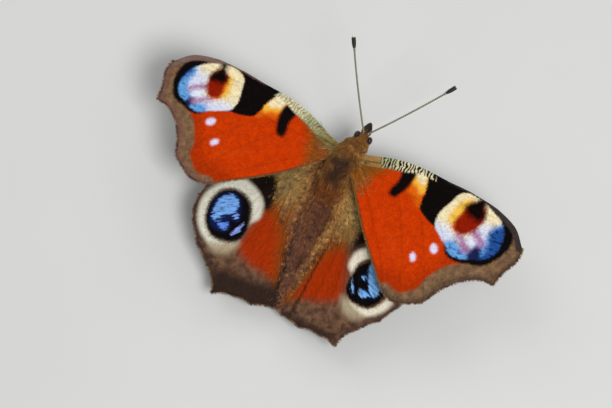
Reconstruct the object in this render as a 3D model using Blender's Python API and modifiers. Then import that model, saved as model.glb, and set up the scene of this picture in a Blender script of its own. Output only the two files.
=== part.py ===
"""Peacock butterfly, life size, standing on four feet with all four wings spread.

The long way of the span is X, with the butterfly's left at +X. Its head faces -Y and
+Z is up. The feet stand on z = 0, and the origin is under the middle of the whole box.

The body is drawn in its own level axes (same directions, origin at the middle of the
thorax) and is then pitched head up and lifted on to its legs. A wing is drawn flat in
plan: u runs outward along its inner margin, v runs forward to its leading edge.
Sizes are in millimetres and angles in degrees until they reach the meshes.
"""

import math

import bmesh
import bpy
from mathutils import Matrix, Vector
from mathutils.geometry import delaunay_2d_cdt

MM = 0.001
GAP = 0.3                 # left between pieces that touch

# Stance of the body over the floor
BODY_HEIGHT = 6.3         # middle of the thorax above the feet
BODY_PITCH = 10.0         # head up

# Body sections along the body: y, middle x, middle z, half width, half height
THORAX = [
    (-4.9, -0.72, 0.35, 0.75, 0.75),
    (-4.2, -0.50, 0.30, 1.50, 1.45),
    (-2.8, -0.20, 0.15, 2.20, 2.25),
    (-0.8, 0.0, 0.0, 2.45, 2.65),
    (1.4, 0.0, -0.1, 2.35, 2.50),
    (3.2, 0.0, -0.2, 1.95, 2.05),
    (4.4, 0.0, -0.3, 1.45, 1.50),
]
ABDOMEN = [
    (4.7, -0.02, -0.30, 1.25, 1.30),
    (6.2, -0.20, -0.35, 1.60, 1.65),
    (8.6, -0.52, -0.45, 1.75, 1.80),
    (11.4, -0.88, -0.60, 1.60, 1.65),
    (14.0, -1.22, -0.75, 1.20, 1.25),
    (16.0, -1.48, -0.90, 0.75, 0.80),
    (17.2, -1.62, -1.00, 0.30, 0.30),
]
ABDOMEN_RINGS = 7         # the segments that the joints of the back mark off
ABDOMEN_GROOVE = 0.05     # how much narrower the body is at each joint
BODY_SQUARENESS = 2.3     # 2 is an ellipse, more is squarer

# Head, with its middle, and what it carries
HEAD_MIDDLE = (-1.05, -6.35, 0.55)
HEAD_HALF = (1.25, 1.10, 1.20)
EYE_ASIDE = 1.12          # middle of an eye from the middle of the head
EYE_HALF = (0.55, 0.72, 0.82)
EYE_FORWARD = 0.12
EYE_SOCKET = 0.25         # room round an eye
PALP_ASIDE = 0.47
PALP_PATH = [(-0.95, -0.62), (-1.55, -0.62), (-2.20, -0.28), (-2.75, 0.20)]
PALP_RADII = [0.30, 0.33, 0.30, 0.18]
COIL_MIDDLE = (-0.95, -1.95)
COIL_OUTER = 0.72
COIL_INNER = 0.20
COIL_TURNS = 1.15
COIL_RADIUS = 0.20
COIL_STEPS = 26

# Feelers: root, middle and tip of each in body axes
ANTENNA_ROOT = (0.42, -0.95, 1.15)
ANTENNA_TIPS = {"left": (8.5, -20.4, 4.4), "right": (-10.8, -21.2, 4.4)}
ANTENNA_BOW = 0.5         # how far the shaft bends outward at its middle
ANTENNA_RADIUS = 0.25
ANTENNA_STEPS = 9
CLUB_SHARE = 0.15         # of the feeler's length
CLUB_RADII = [0.26, 0.34, 0.42, 0.42, 0.34, 0.15]

# Legs: roots in body axes, later points over the floor, for the left side
LEG_RADII = {"femur": (0.36, 0.30), "tibia": (0.29, 0.26), "tarsus": (0.26, 0.25)}
LEGS = {
    "midleg": {"root": (1.55, -0.9, -2.35), "knee": (5.4, -2.8, 3.6),
               "ankle": (7.6, -3.6, 0.75), "toe": (10.6, -6.0, 0.21)},
    "hindleg": {"root": (1.45, 2.1, -2.20), "knee": (4.9, 5.4, 3.3),
                "ankle": (6.3, 8.6, 0.75), "toe": (7.0, 12.8, 0.21)},
}
FOOT_DOWN = 0.3           # share of the foot after which it lies on the floor
FORELEG_MIDDLE = [-0.30, -0.55, -0.95, -1.05]   # between the two forelegs, per point
FORELEG_PATH = [(0.85, -3.75, -1.95), (0.95, -4.9, -2.35), (0.85, -6.2, -2.15),
                (0.74, -6.75, -1.55)]
FORELEG_RADII = [0.28, 0.32, 0.30, 0.20]

# Wings. A root is where the plan's origin stands in body axes. root_face is the plane,
# a gap out from the thorax, that cuts the wing off there: its distance out, a point
# along the body that it passes, and the angle by which it tapers in towards the tail.
# reach is the size of each wing against the plan. skew moves each wing's rear part
# forward with its distance out, past u = SKEW_FROM, fully up to v = SKEW_FULL and not at
# all from v = SKEW_NONE. tuck is how much nearer the abdomen the inner margin comes,
# behind v = TUCK_BEHIND.
SKEW_FROM, SKEW_FULL, SKEW_NONE = 7.0, 12.0, 25.0
TUCK_BEHIND = -2.5
MEMBRANE = 0.5            # thickness
VEIN_RISE = 0.14          # of a vein over each face
VEIN_HALF_WIDTH = 0.34
VEIN_STEP = 1.6
FILL_STEP = 2.4
MARGIN_STEPS = 4          # along each scallop
CURVE_STEP = 1.4

FOREWING = {
    "root": {"left": (3.22, -2.6, 1.5), "right": (2.17, -2.6, 1.5)},
    "root_face": (2.62, -2.6, 0.0),
    "reach": {"left": 0.975, "right": 1.02},
    "skew": {"left": 0.075, "right": -0.075},
    "tuck": {"left": 0.0, "right": 0.0},
    "sweep": {"left": 56.7, "right": 56.3},
    "dihedral": 8.0,
    "arch": 0.5,          # how far the membrane bulges up between root and edge
    "arch_middle": 14.0,
    "leading": [(-1.9, -1.0), (-0.95, 1.5), (-0.35, 3.8), (0.10, 5.6), (1.0, 8.0),
                (2.5, 10.9), (4.6, 14.0), (7.2, 18.1), (10.2, 21.8), (13.4, 24.2),
                (16.8, 24.9)],
    "margin": [(16.8, 24.9), (19.6, 23.0), (22.4, 20.0), (21.2, 16.4), (21.9, 13.0),
               (24.1, 9.3), (23.9, 5.4), (21.8, 2.9)],
    "scallop": [-0.35, 0.25, 0.40, 0.20, 0.15, 0.0, -0.30],
    "inner": [(21.8, 2.9), (17.4, 1.6), (11.3, 0.0), (6.1, -0.9), (1.5, -1.5),
              (-1.9, -2.4)],
    "veins": {
        "subcosta": [(-0.6, 0.6), (0.6, 4.0), (1.5, 7.6), (2.9, 10.7), (4.6, 14.0)],
        "radius": [(-0.6, 0.3), (1.2, 3.9), (3.0, 8.0), (5.2, 11.9), (7.6, 15.2),
                   (12.3, 20.6), (16.8, 24.9)],
        "radius_1": [(4.2, 10.2), (5.4, 14.4), (7.2, 18.1)],
        "radius_2": [(6.0, 13.1), (8.0, 18.1), (10.2, 21.8)],
        "radius_3": [(9.8, 17.8), (11.4, 21.0), (13.4, 24.2)],
        "radius_5": [(12.3, 20.6), (16.0, 22.2), (19.6, 23.0)],
        "media_1": [(7.6, 15.2), (12.0, 17.8), (17.5, 19.5), (22.4, 20.0)],
        "media_2": [(8.5, 13.6), (12.5, 15.4), (17.0, 16.4), (21.2, 16.4)],
        "cell_end": [(7.6, 15.2), (8.5, 13.6), (9.3, 11.4)],
        "cubitus": [(-0.3, -0.2), (3.2, 3.6), (6.3, 7.6), (9.3, 11.4), (14.5, 13.0),
                    (21.9, 13.0)],
        "cubitus_1": [(7.6, 9.2), (12.5, 9.6), (18.0, 9.8), (24.1, 9.3)],
        "cubitus_2": [(4.9, 5.8), (10.0, 6.2), (17.0, 6.2), (23.9, 5.4)],
        "anal": [(-0.1, -0.7), (5.0, 0.7), (11.5, 1.9), (17.5, 2.9), (21.8, 2.9)],
    },
}
HINDWING = {
    "root": {"left": (2.98, 2.56, 0.3), "right": (1.93, 2.56, 0.3)},
    "root_face": (2.70, 1.0, 9.0),
    "reach": {"left": 1.0, "right": 1.0},
    "skew": {"left": 0.0, "right": 0.0},
    "tuck": {"left": 0.9, "right": 0.0},
    "sweep": {"left": 11.6, "right": -1.5},
    "dihedral": 7.0,
    "arch": 0.4,
    "arch_middle": 10.0,
    "leading": [(-1.2, 1.3), (0.8, 2.0), (4.5, 1.6), (9.5, -0.4), (13.6, -2.6),
                (16.2, -5.4), (17.5, -8.8)],
    "margin": [(17.5, -8.8), (17.4, -13.2), (15.6, -16.8), (12.9, -19.8),
               (10.9, -24.0), (7.6, -23.4), (4.1, -23.8), (0.4, -23.3)],
    "scallop": [-0.30, 0.10, 0.15, 0.55, 0.35, 0.25, 0.25],
    "inner": [(0.4, -23.3), (0.0, -20.0), (0.5, -13.0), (1.0, -7.5), (0.7, -3.2),
              (-0.6, -1.6), (-1.2, -1.2)],
    "veins": {
        "subcosta": [(0.4, 0.6), (4.2, -0.2), (10.5, -3.2), (17.5, -8.8)],
        "radius": [(3.1, -0.1), (6.2, -3.6), (11.5, -8.6), (17.4, -13.2)],
        "media_1": [(6.2, -3.6), (9.0, -8.2), (12.4, -13.0), (15.6, -16.8)],
        "media_2": [(7.2, -8.0), (9.5, -12.6), (12.9, -19.8)],
        "cell_end": [(8.0, -6.5), (7.2, -8.0), (5.9, -9.6)],
        "media_3": [(0.4, -0.2), (3.6, -4.4), (5.9, -9.6), (8.4, -16.0), (10.9, -24.0)],
        "cubitus_1": [(5.4, -8.4), (6.6, -14.5), (7.6, -23.4)],
        "cubitus_2": [(3.6, -4.4), (4.4, -12.0), (4.1, -23.8)],
        "anal": [(0.6, -0.9), (2.3, -6.5), (2.1, -14.5), (0.4, -23.3)],
    },
}

# Finishes: colour, roughness
FINISHES = {
    "red_scales": ("#B93A0E", 0.6),
    "rust_scales": ("#9C3A12", 0.6),
    "golden_hair": ("#7A4A1C", 0.85),
    "abdomen_hair": ("#5A3A30", 0.85),
    "eye": ("#24140E", 0.2),
    "feeler": ("#6E6250", 0.5),
    "club": ("#1C1512", 0.5),
    "leg": ("#4A3520", 0.7),
}


def linear(hex_colour):
    """A hex colour as linear red, green, blue and alpha."""
    channels = [int(hex_colour[i:i + 2], 16) / 255 for i in (1, 3, 5)]
    return [c / 12.92 if c <= 0.04045 else ((c + 0.055) / 1.055) ** 2.4
            for c in channels] + [1.0]


def make_finish(name):
    """A plain Principled material for one of the finishes."""
    colour, roughness = FINISHES[name]
    material = bpy.data.materials.new(name)
    material.use_nodes = True
    shader = material.node_tree.nodes["Principled BSDF"]
    shader.inputs["Base Color"].default_value = linear(colour)
    shader.inputs["Roughness"].default_value = roughness
    material.diffuse_color = linear(colour)
    return material


def to_floor(point):
    """A point in body axes as a point over the floor, both in millimetres."""
    stance = Matrix.Translation((0, 0, BODY_HEIGHT)) @ Matrix.Rotation(
        math.radians(-BODY_PITCH), 4, "X")
    return stance @ Vector(point)


def spline(points, step):
    """Points about one step apart on the smooth curve through the given ones."""
    points = [Vector(p) for p in points]
    ends = [2 * points[0] - points[1]] + points + [2 * points[-1] - points[-2]]
    curve = []
    for before, start, end, after in zip(ends, ends[1:], ends[2:], ends[3:]):
        count = max(1, round((end - start).length / step))
        for i in range(count):
            t = i / count
            curve.append(0.5 * (2 * start + (end - before) * t
                                + (2 * before - 5 * start + 4 * end - after) * t ** 2
                                + (3 * start - before - 3 * end + after) * t ** 3))
    return curve + [points[-1]]


def add_object(name, mesh_builder, finish):
    """A named object from a bmesh in millimetres, in the butterfly's collection."""
    bmesh.ops.scale(mesh_builder, vec=(MM, MM, MM), verts=mesh_builder.verts)
    mesh = bpy.data.meshes.new(name)
    mesh_builder.to_mesh(mesh)
    mesh_builder.free()
    mesh.materials.append(bpy.data.materials[finish])
    mesh.shade_smooth()
    mesh.set_sharp_from_angle(angle=math.radians(50))
    piece = bpy.data.objects.new(name, mesh)
    bpy.data.collections["peacock_butterfly"].objects.link(piece)
    piece.parent = bpy.data.objects["stance"]
    return piece


def section_ring(builder, section, sides):
    """One ring of a body: an ellipse, a little squared, across the body."""
    y, middle_x, middle_z, half_width, half_height = section
    power = 2 / BODY_SQUARENESS
    ring = []
    for i in range(sides):
        turn = 2 * math.pi * i / sides
        across, up = math.cos(turn), math.sin(turn)
        across = math.copysign(abs(across) ** power, across)
        up = math.copysign(abs(up) ** power, up)
        ring.append(builder.verts.new(to_floor((middle_x + half_width * across, y,
                                                middle_z + half_height * up))))
    return ring


def loft(name, sections, finish, sides=20):
    """A closed body through its sections, with a flat face at each end."""
    builder = bmesh.new()
    rings = [section_ring(builder, section, sides) for section in sections]
    for ring, following in zip(rings, rings[1:]):
        for i in range(sides):
            j = (i + 1) % sides
            builder.faces.new((ring[i], ring[j], following[j], following[i]))
    builder.faces.new(rings[0])
    builder.faces.new(reversed(rings[-1]))
    bmesh.ops.recalc_face_normals(builder, faces=builder.faces)
    return add_object(name, builder, finish)


def smooth_sections(sections, step):
    """More sections between the given ones, on smooth curves."""
    columns = [spline([(row[0], row[k], 0) for row in sections], step)
               for k in range(1, 5)]
    return [(points[0].x, *(p.y for p in points)) for points in zip(*columns)]


def make_thorax():
    loft("thorax", smooth_sections(THORAX, 0.75), "golden_hair", sides=24)


def make_abdomen():
    """The hind body, pinched in at each joint between its segments."""
    sections = []
    start, end = ABDOMEN[0][0], ABDOMEN[-1][0]
    for y, x, z, width, height in smooth_sections(ABDOMEN, 0.6):
        along = (y - start) / (end - start) * ABDOMEN_RINGS
        pinch = 1 - ABDOMEN_GROOVE * math.cos(math.pi * along) ** 8
        sections.append((y, x, z, width * pinch, height * pinch))
    loft("abdomen", sections, "abdomen_hair")


def ball(middle, half, segments, rings):
    """A bmesh ellipsoid standing in body axes."""
    builder = bmesh.new()
    bmesh.ops.create_uvsphere(builder, u_segments=segments, v_segments=rings, radius=1)
    for vertex in builder.verts:
        vertex.co = to_floor([m + h * c for m, h, c in zip(middle, half, vertex.co)])
    return builder


def head_point(x, y, z):
    """A place on the head, from its middle, in body axes."""
    return tuple(m + c for m, c in zip(HEAD_MIDDLE, (x, y, z)))


def make_head():
    """The head, hollowed at each side for its eye, and the two eyes."""
    head = add_object("head", ball(HEAD_MIDDLE, HEAD_HALF, 28, 18), "golden_hair")
    for side, sign in (("left", 1), ("right", -1)):
        middle = head_point(sign * EYE_ASIDE, -EYE_FORWARD, 0.0)
        add_object("eye_" + side, ball(middle, EYE_HALF, 16, 10), "eye")
        room = [h + EYE_SOCKET for h in EYE_HALF]
        socket = add_object("socket_" + side, ball(middle, room, 16, 10), "eye")
        bpy.data.collections["peacock_butterfly"].objects.unlink(socket)
        bpy.data.collections["cutters"].objects.link(socket)
        socket.hide_render = True
        socket.display_type = "WIRE"
        cut = head.modifiers.new("socket_" + side, "BOOLEAN")
        cut.object = socket


def tube(name, path, radii, finish, resolution=2, flat_below=None):
    """A round bar along points over the floor, with a radius at each.

    flat_below, if given, is the height under which the bar is cut away to a flat.
    """
    curve = bpy.data.curves.new(name, "CURVE")
    curve.dimensions = "3D"
    curve.bevel_depth = 1.0
    curve.bevel_resolution = resolution
    curve.use_fill_caps = True
    line = curve.splines.new("POLY")
    line.points.add(len(path) - 1)
    for point, place, radius in zip(line.points, path, radii):
        point.co = (*place, 1.0)
        point.radius = radius
    drawn = bpy.data.objects.new(name, curve)
    bpy.data.collections["peacock_butterfly"].objects.link(drawn)
    evaluated = drawn.evaluated_get(bpy.context.evaluated_depsgraph_get())
    mesh = bpy.data.meshes.new_from_object(evaluated)
    builder = bmesh.new()
    builder.from_mesh(mesh)
    bmesh.ops.remove_doubles(builder, verts=builder.verts, dist=0.01)
    bpy.data.objects.remove(drawn)
    bpy.data.meshes.remove(mesh)
    if flat_below is not None:
        everything = builder.verts[:] + builder.edges[:] + builder.faces[:]
        cut = bmesh.ops.bisect_plane(builder, geom=everything, dist=1e-4,
                                     plane_co=(0, 0, flat_below), plane_no=(0, 0, -1),
                                     clear_outer=True)
        rim = [e for e in cut["geom_cut"] if isinstance(e, bmesh.types.BMEdge)]
        bmesh.ops.contextual_create(builder, geom=rim)
    bmesh.ops.recalc_face_normals(builder, faces=builder.faces)
    return add_object(name, builder, finish)


def make_mouth():
    """The two palps that stand before the face and the coiled tongue under it."""
    for side, sign in (("left", 1), ("right", -1)):
        path = [to_floor(head_point(sign * PALP_ASIDE, y, z)) for y, z in PALP_PATH]
        tube("palp_" + side, path, PALP_RADII, "golden_hair")
    coil = []
    for i in range(COIL_STEPS + 1):
        share = i / COIL_STEPS
        turn = math.pi * 0.5 + 2 * math.pi * COIL_TURNS * share
        radius = COIL_OUTER + (COIL_INNER - COIL_OUTER) * share
        y = COIL_MIDDLE[0] + radius * math.cos(turn)
        z = COIL_MIDDLE[1] + radius * math.sin(turn)
        coil.append(to_floor(head_point(0, y, z)))
    tube("proboscis", coil, [COIL_RADIUS] * len(coil), "leg")


def make_antenna(side, sign):
    """A feeler: a thin bowed shaft and, past a fine gap, its club."""
    root = Vector(head_point(sign * ANTENNA_ROOT[0], *ANTENNA_ROOT[1:]))
    tip = Vector(ANTENNA_TIPS[side])
    middle = (root + tip) / 2 + Vector((sign * ANTENNA_BOW, 0, ANTENNA_BOW))
    line = []
    for i in range(2 * ANTENNA_STEPS + 1):
        t = i / (2 * ANTENNA_STEPS)
        line.append(root * (1 - t) ** 2 + middle * 2 * t * (1 - t) + tip * t ** 2)
    length = (tip - root).length
    shaft = [p for p in line if (p - tip).length > CLUB_SHARE * length]
    shaft_end = shaft[-1]
    way = (tip - shaft_end).normalized()
    club = [shaft_end + way * (GAP + (length * CLUB_SHARE - GAP) * k / 5)
            for k in range(len(CLUB_RADII))]
    tube(f"antenna_{side}_shaft", [to_floor(p) for p in shaft],
         [ANTENNA_RADIUS] * len(shaft), "feeler")
    tube(f"antenna_{side}_club", [to_floor(p) for p in club], CLUB_RADII, "club")


def shorten(start, end, at_start, at_end):
    """A stretch's two ends, each drawn in along it."""
    way = (end - start).normalized()
    return start + way * at_start, end - way * at_end


def make_leg(kind, side, sign):
    """A walking leg in three lengths, whose foot lies flat on the floor."""
    places = LEGS[kind]
    root = to_floor((sign * places["root"][0], *places["root"][1:]))
    knee, ankle, toe = (Vector((sign * p[0], *p[1:]))
                        for p in (places["knee"], places["ankle"], places["toe"]))
    lengths = {"femur": shorten(root, knee, GAP, GAP),
               "tibia": shorten(knee, ankle, GAP, GAP / 2)}
    for part, (start, end) in lengths.items():
        tube(f"{kind}_{side}_{part}", [start, end], LEG_RADII[part], "leg")
    start, _ = shorten(ankle, toe, GAP, 0)
    touch = ankle.lerp(toe, FOOT_DOWN)
    touch.z = toe.z
    radii = (LEG_RADII["tarsus"][0],) * 2 + (LEG_RADII["tarsus"][1],)
    tube(f"{kind}_{side}_tarsus", [start, touch, toe], radii, "leg", flat_below=0.0)


def make_foreleg(side, sign):
    """One of the small brush-like forelegs, held folded under the head."""
    path = [to_floor((middle + sign * x, y, z))
            for middle, (x, y, z) in zip(FORELEG_MIDDLE, FORELEG_PATH)]
    tube("foreleg_" + side, path, FORELEG_RADII, "golden_hair")


def wing_place(wing, side, sign, u, v):
    """A wing's plan point in body axes: arched, raised, swept and set on its root."""
    middle = wing["arch_middle"]
    w = wing["arch"] * (1 - ((u - middle) / middle) ** 2)
    rear = max(0.0, min(1.0, (SKEW_NONE - v) / (SKEW_NONE - SKEW_FULL)))
    v += wing["skew"][side] * max(0.0, u - SKEW_FROM) * rear
    u, v = u * wing["reach"][side], v * wing["reach"][side]
    rise = math.radians(wing["dihedral"])
    sweep = math.radians(wing["sweep"][side])
    out = u * math.cos(rise) - w * math.sin(rise)
    up = u * math.sin(rise) + w * math.cos(rise)
    root = wing["root"][side]
    return Vector((sign * (root[0] + out * math.cos(sweep) + v * math.sin(sweep)),
                   root[1] + out * math.sin(sweep) - v * math.cos(sweep),
                   root[2] + up))


def scalloped(ends, depths):
    """The outer margin: from vein end to vein end, hollowed by each depth."""
    margin = []
    for start, end, depth in zip(ends, ends[1:], depths):
        start, end = Vector(start), Vector(end)
        along = end - start
        inward = Vector((along.y, -along.x)).normalized()
        for i in range(MARGIN_STEPS):
            t = i / MARGIN_STEPS
            margin.append(start + along * t + inward * depth * math.sin(math.pi * t))
    return margin


def wing_outline(wing, side):
    """The wing's edge in plan, once round: front, outer margin, inner margin."""
    front = spline(wing["leading"], CURVE_STEP)[:-1]
    ends = list(wing["margin"])
    inner = list(wing["inner"])
    tuck = wing["tuck"][side]
    if tuck:
        inner = [(u - tuck, v) if v < TUCK_BEHIND else (u, v) for u, v in inner]
        ends[-1] = inner[0]
    back = spline(inner, CURVE_STEP)
    return front + scalloped(ends, wing["scallop"]) + back


def distance_to_line(point, line):
    """The least distance from a plan point to a line of points."""
    least = math.inf
    for start, end in zip(line, line[1:]):
        way = end - start
        t = max(0.0, min(1.0, (point - start).dot(way) / way.length_squared))
        least = min(least, (point - start - way * t).length)
    return least


def inside(point, outline):
    """Whether a plan point lies inside a closed outline."""
    within = False
    for start, end in zip(outline, outline[1:] + outline[:1]):
        if (start.y > point.y) != (end.y > point.y):
            if point.x < start.x + (end.x - start.x) * (point.y - start.y) / (end.y - start.y):
                within = not within
    return within


def wing_mesh(wing, side, sign):
    """The wing's middle sheet, cut into triangles that follow its veins."""
    outline = wing_outline(wing, side)
    edge = outline + outline[:1]
    veins = [spline(points, VEIN_STEP) for points in wing["veins"].values()]
    points = list(outline)
    edges = [(i, (i + 1) % len(outline)) for i in range(len(outline))]
    for vein in veins:
        first = len(points)
        points += vein
        edges += [(first + i, first + i + 1) for i in range(len(vein) - 1)]
    for vein in veins:
        for i, point in enumerate(vein):
            way = vein[min(i + 1, len(vein) - 1)] - vein[max(i - 1, 0)]
            aside = Vector((-way.y, way.x)).normalized() * VEIN_HALF_WIDTH
            for foot in (point + aside, point - aside):
                clear = min(distance_to_line(foot, other) for other in veins)
                if (clear > 0.9 * VEIN_HALF_WIDTH and inside(foot, outline)
                        and distance_to_line(foot, edge) > VEIN_HALF_WIDTH / 2):
                    points.append(foot)
    low = [min(p[k] for p in outline) for k in (0, 1)]
    high = [max(p[k] for p in outline) for k in (0, 1)]
    rows = int((high[1] - low[1]) / FILL_STEP)
    columns = int((high[0] - low[0]) / FILL_STEP)
    for row in range(rows):
        for column in range(columns):
            place = Vector((low[0] + (column + 0.5 * (row % 2) + 0.5) * FILL_STEP,
                            low[1] + (row + 0.5) * FILL_STEP))
            if inside(place, outline) and min(
                    distance_to_line(place, line) for line in veins + [edge]) > FILL_STEP / 2:
                points.append(place)
    flat = delaunay_2d_cdt(points, edges, [], 1, 1e-3)
    builder = bmesh.new()
    group = builder.verts.layers.deform.new()
    for point in flat[0]:
        vertex = builder.verts.new(wing_place(wing, side, sign, point.x, point.y))
        near = min(distance_to_line(point, vein) for vein in veins)
        vertex[group][0] = max(0.0, 1 - near / VEIN_HALF_WIDTH)
    builder.verts.ensure_lookup_table()
    for corners in flat[2]:
        builder.faces.new([builder.verts[i] for i in corners])
    everything = builder.verts[:] + builder.edges[:] + builder.faces[:]
    out, along, taper = wing["root_face"]
    taper = math.radians(taper)
    bmesh.ops.bisect_plane(builder, geom=everything, dist=1e-4, clear_inner=True,
                           plane_co=(sign * out, along, 0),
                           plane_no=(sign * math.cos(taper), math.sin(taper), 0))
    bmesh.ops.triangulate(builder, faces=builder.faces)
    bmesh.ops.recalc_face_normals(builder, faces=builder.faces)
    if builder.faces[:][0].normal.z < 0:
        bmesh.ops.reverse_faces(builder, faces=builder.faces)
    for vertex in builder.verts:
        vertex.co = to_floor(vertex.co)
    return builder


def make_wing(name, wing, side, sign, finish):
    """A wing: its sheet given thickness, more along the veins than between them."""
    builder = wing_mesh(wing, side, sign)
    piece = add_object(f"{name}_{side}", builder, finish)
    piece.vertex_groups.new(name="veins")
    thickest = MEMBRANE + 2 * VEIN_RISE
    wall = piece.modifiers.new("wall", "SOLIDIFY")
    wall.thickness = thickest * MM
    wall.offset = 0
    wall.vertex_group = "veins"
    wall.thickness_vertex_group = MEMBRANE / thickest


def whole_box():
    """Lowest and highest corner of everything built, in metres."""
    bpy.context.view_layer.update()
    graph = bpy.context.evaluated_depsgraph_get()
    corners = []
    for piece in bpy.data.collections["peacock_butterfly"].objects:
        if piece.type == "MESH":
            mesh = piece.evaluated_get(graph).to_mesh()
            corners += [piece.matrix_world @ v.co for v in mesh.vertices]
    return ([min(c[k] for c in corners) for k in range(3)],
            [max(c[k] for c in corners) for k in range(3)])


def main():
    for piece in list(bpy.data.objects):
        bpy.data.objects.remove(piece, do_unlink=True)
    for name in ("peacock_butterfly", "cutters"):
        bpy.context.scene.collection.children.link(bpy.data.collections.new(name))
    for name in FINISHES:
        make_finish(name)
    stance = bpy.data.objects.new("stance", None)
    bpy.data.collections["peacock_butterfly"].objects.link(stance)

    make_thorax()
    make_abdomen()
    make_head()
    make_mouth()
    for side, sign in (("left", 1), ("right", -1)):
        make_antenna(side, sign)
        make_wing("forewing", FOREWING, side, sign, "red_scales")
        make_wing("hindwing", HINDWING, side, sign, "rust_scales")
        make_foreleg(side, sign)
        for kind in LEGS:
            make_leg(kind, side, sign)

    low, high = whole_box()
    stance.location = (-(low[0] + high[0]) / 2, -(low[1] + high[1]) / 2, 0)


main()
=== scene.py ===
"""Peacock butterfly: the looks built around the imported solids.

Shapes are worked out in millimetres in the body's own level axes (the butterfly's left
at +X, head at -Y), pitched head up and set over the floor as the solids are, and turned
to metres as they reach a mesh. A wing is drawn in plan: u outward along its inner
margin, v forward to its leading edge.
"""

import math
from functools import partial

import bpy
import numpy as np
from mathutils import Matrix, Vector
from mathutils.kdtree import KDTree


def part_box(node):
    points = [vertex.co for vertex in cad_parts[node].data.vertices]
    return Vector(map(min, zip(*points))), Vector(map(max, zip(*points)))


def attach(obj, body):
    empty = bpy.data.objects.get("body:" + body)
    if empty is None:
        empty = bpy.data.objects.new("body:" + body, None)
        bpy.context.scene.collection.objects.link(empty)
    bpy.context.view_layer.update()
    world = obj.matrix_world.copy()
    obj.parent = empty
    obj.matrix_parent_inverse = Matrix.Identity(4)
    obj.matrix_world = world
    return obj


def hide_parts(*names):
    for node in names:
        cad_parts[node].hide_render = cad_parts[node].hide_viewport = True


bl_info = {
    "name": "Peacock butterfly",
    "version": (1, 0, 0),
    "blender": (4, 5, 0),
    "location": "3D View > Sidebar > Butterfly",
    "description": "A life-size peacock butterfly with scaled wings and a hairy body",
    "category": "Object",
}

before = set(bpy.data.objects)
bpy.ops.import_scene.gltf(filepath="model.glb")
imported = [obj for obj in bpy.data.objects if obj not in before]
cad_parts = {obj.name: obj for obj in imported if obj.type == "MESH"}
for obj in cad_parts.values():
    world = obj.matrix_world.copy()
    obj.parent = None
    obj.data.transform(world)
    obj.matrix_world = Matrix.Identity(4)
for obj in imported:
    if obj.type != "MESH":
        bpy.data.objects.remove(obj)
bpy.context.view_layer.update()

MM = 0.001
SIDES = {"left": 1, "right": -1}
PITCH = math.radians(10.0)
BODY_HEIGHT = 6.3

# Body skin: y, middle x, middle z, half width, half height
SKIN = np.array([
    (-7.34, -1.05, 0.52, 0.02, 0.02),
    (-7.28, -1.05, 0.52, 0.30, 0.32),
    (-7.05, -1.05, 0.54, 0.66, 0.70),
    (-6.70, -1.05, 0.55, 0.90, 0.92),
    (-6.35, -1.05, 0.55, 0.98, 1.00),
    (-6.00, -1.03, 0.55, 0.93, 0.96),
    (-5.60, -0.98, 0.51, 0.86, 0.88),
    (-5.25, -0.90, 0.45, 0.84, 0.86),
    (-4.90, -0.76, 0.38, 0.92, 0.92),
    (-4.50, -0.60, 0.33, 1.14, 1.10),
    (-4.00, -0.46, 0.28, 1.46, 1.42),
    (-2.80, -0.20, 0.15, 1.96, 2.00),
    (-0.80, 0.00, 0.00, 2.20, 2.38),
    (1.40, 0.00, -0.10, 2.10, 2.24),
    (3.20, 0.00, -0.20, 1.72, 1.80),
    (4.30, 0.00, -0.30, 1.32, 1.34),
    (4.90, -0.05, -0.31, 1.22, 1.22),
    (6.20, -0.20, -0.35, 1.42, 1.42),
    (8.60, -0.52, -0.45, 1.56, 1.54),
    (11.4, -0.88, -0.60, 1.42, 1.42),
    (14.0, -1.22, -0.75, 1.04, 1.04),
    (16.0, -1.48, -0.90, 0.62, 0.62),
    (17.0, -1.60, -0.99, 0.22, 0.22),
    (17.14, -1.62, -1.00, 0.02, 0.02),
])
SQUARENESS = 2.3
ABDOMEN_START, ABDOMEN_END, ABDOMEN_RINGS, RING_PINCH = 4.7, 17.2, 7, 0.06
SKIN_SIDES, SKIN_RINGS, HEAD_RINGS, HEAD_END = 96, 300, 70, -4.5

# Head
HEAD_MIDDLE = np.array((-1.05, -6.35, 0.55))
EYE_ASIDE, EYE_FORWARD = 1.12, 0.12
EYE_HALF = np.array((0.55, 0.72, 0.82))
PALP_PATH = [(0.47, -0.70, -0.62), (0.47, -1.05, -0.70), (0.42, -1.55, -0.62),
             (0.28, -2.20, -0.28), (0.13, -2.78, 0.22)]
PALP_RADII = [0.20, 0.26, 0.29, 0.24, 0.06]
COIL_MIDDLE, COIL_OUTER, COIL_INNER, COIL_TURNS = (-0.95, -1.95), 0.72, 0.20, 1.15
COIL_RINGS = 36
FEELER_ROOT = np.array((0.42, -0.95, 1.15))
FEELER_TIPS = {"left": (8.5, -20.4, 4.4), "right": (-10.8, -21.2, 4.4)}
FEELER_BOW, CLUB_SHARE, FEELER_SEGMENTS, FEELER_POINTS = 0.5, 0.15, 44, 900
CLUB_PLACES = [0, 0.12, 0.4, 0.72, 0.93, 1.0]
CLUB_RADII = [0.15, 0.24, 0.35, 0.36, 0.22, 0.05]
CLUB_SEGMENTS = 11

# Legs: roots in body axes, later points over the floor, for the left side
LEGS = {
    "midleg": [(1.55, -0.9, -2.35), (5.4, -2.8, 3.6), (7.6, -3.6, 0.75), (10.6, -6.0, 0.12)],
    "hindleg": [(1.45, 2.1, -2.20), (4.9, 5.4, 3.3), (6.3, 8.6, 0.75), (7.0, 12.8, 0.12)],
}
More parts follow.
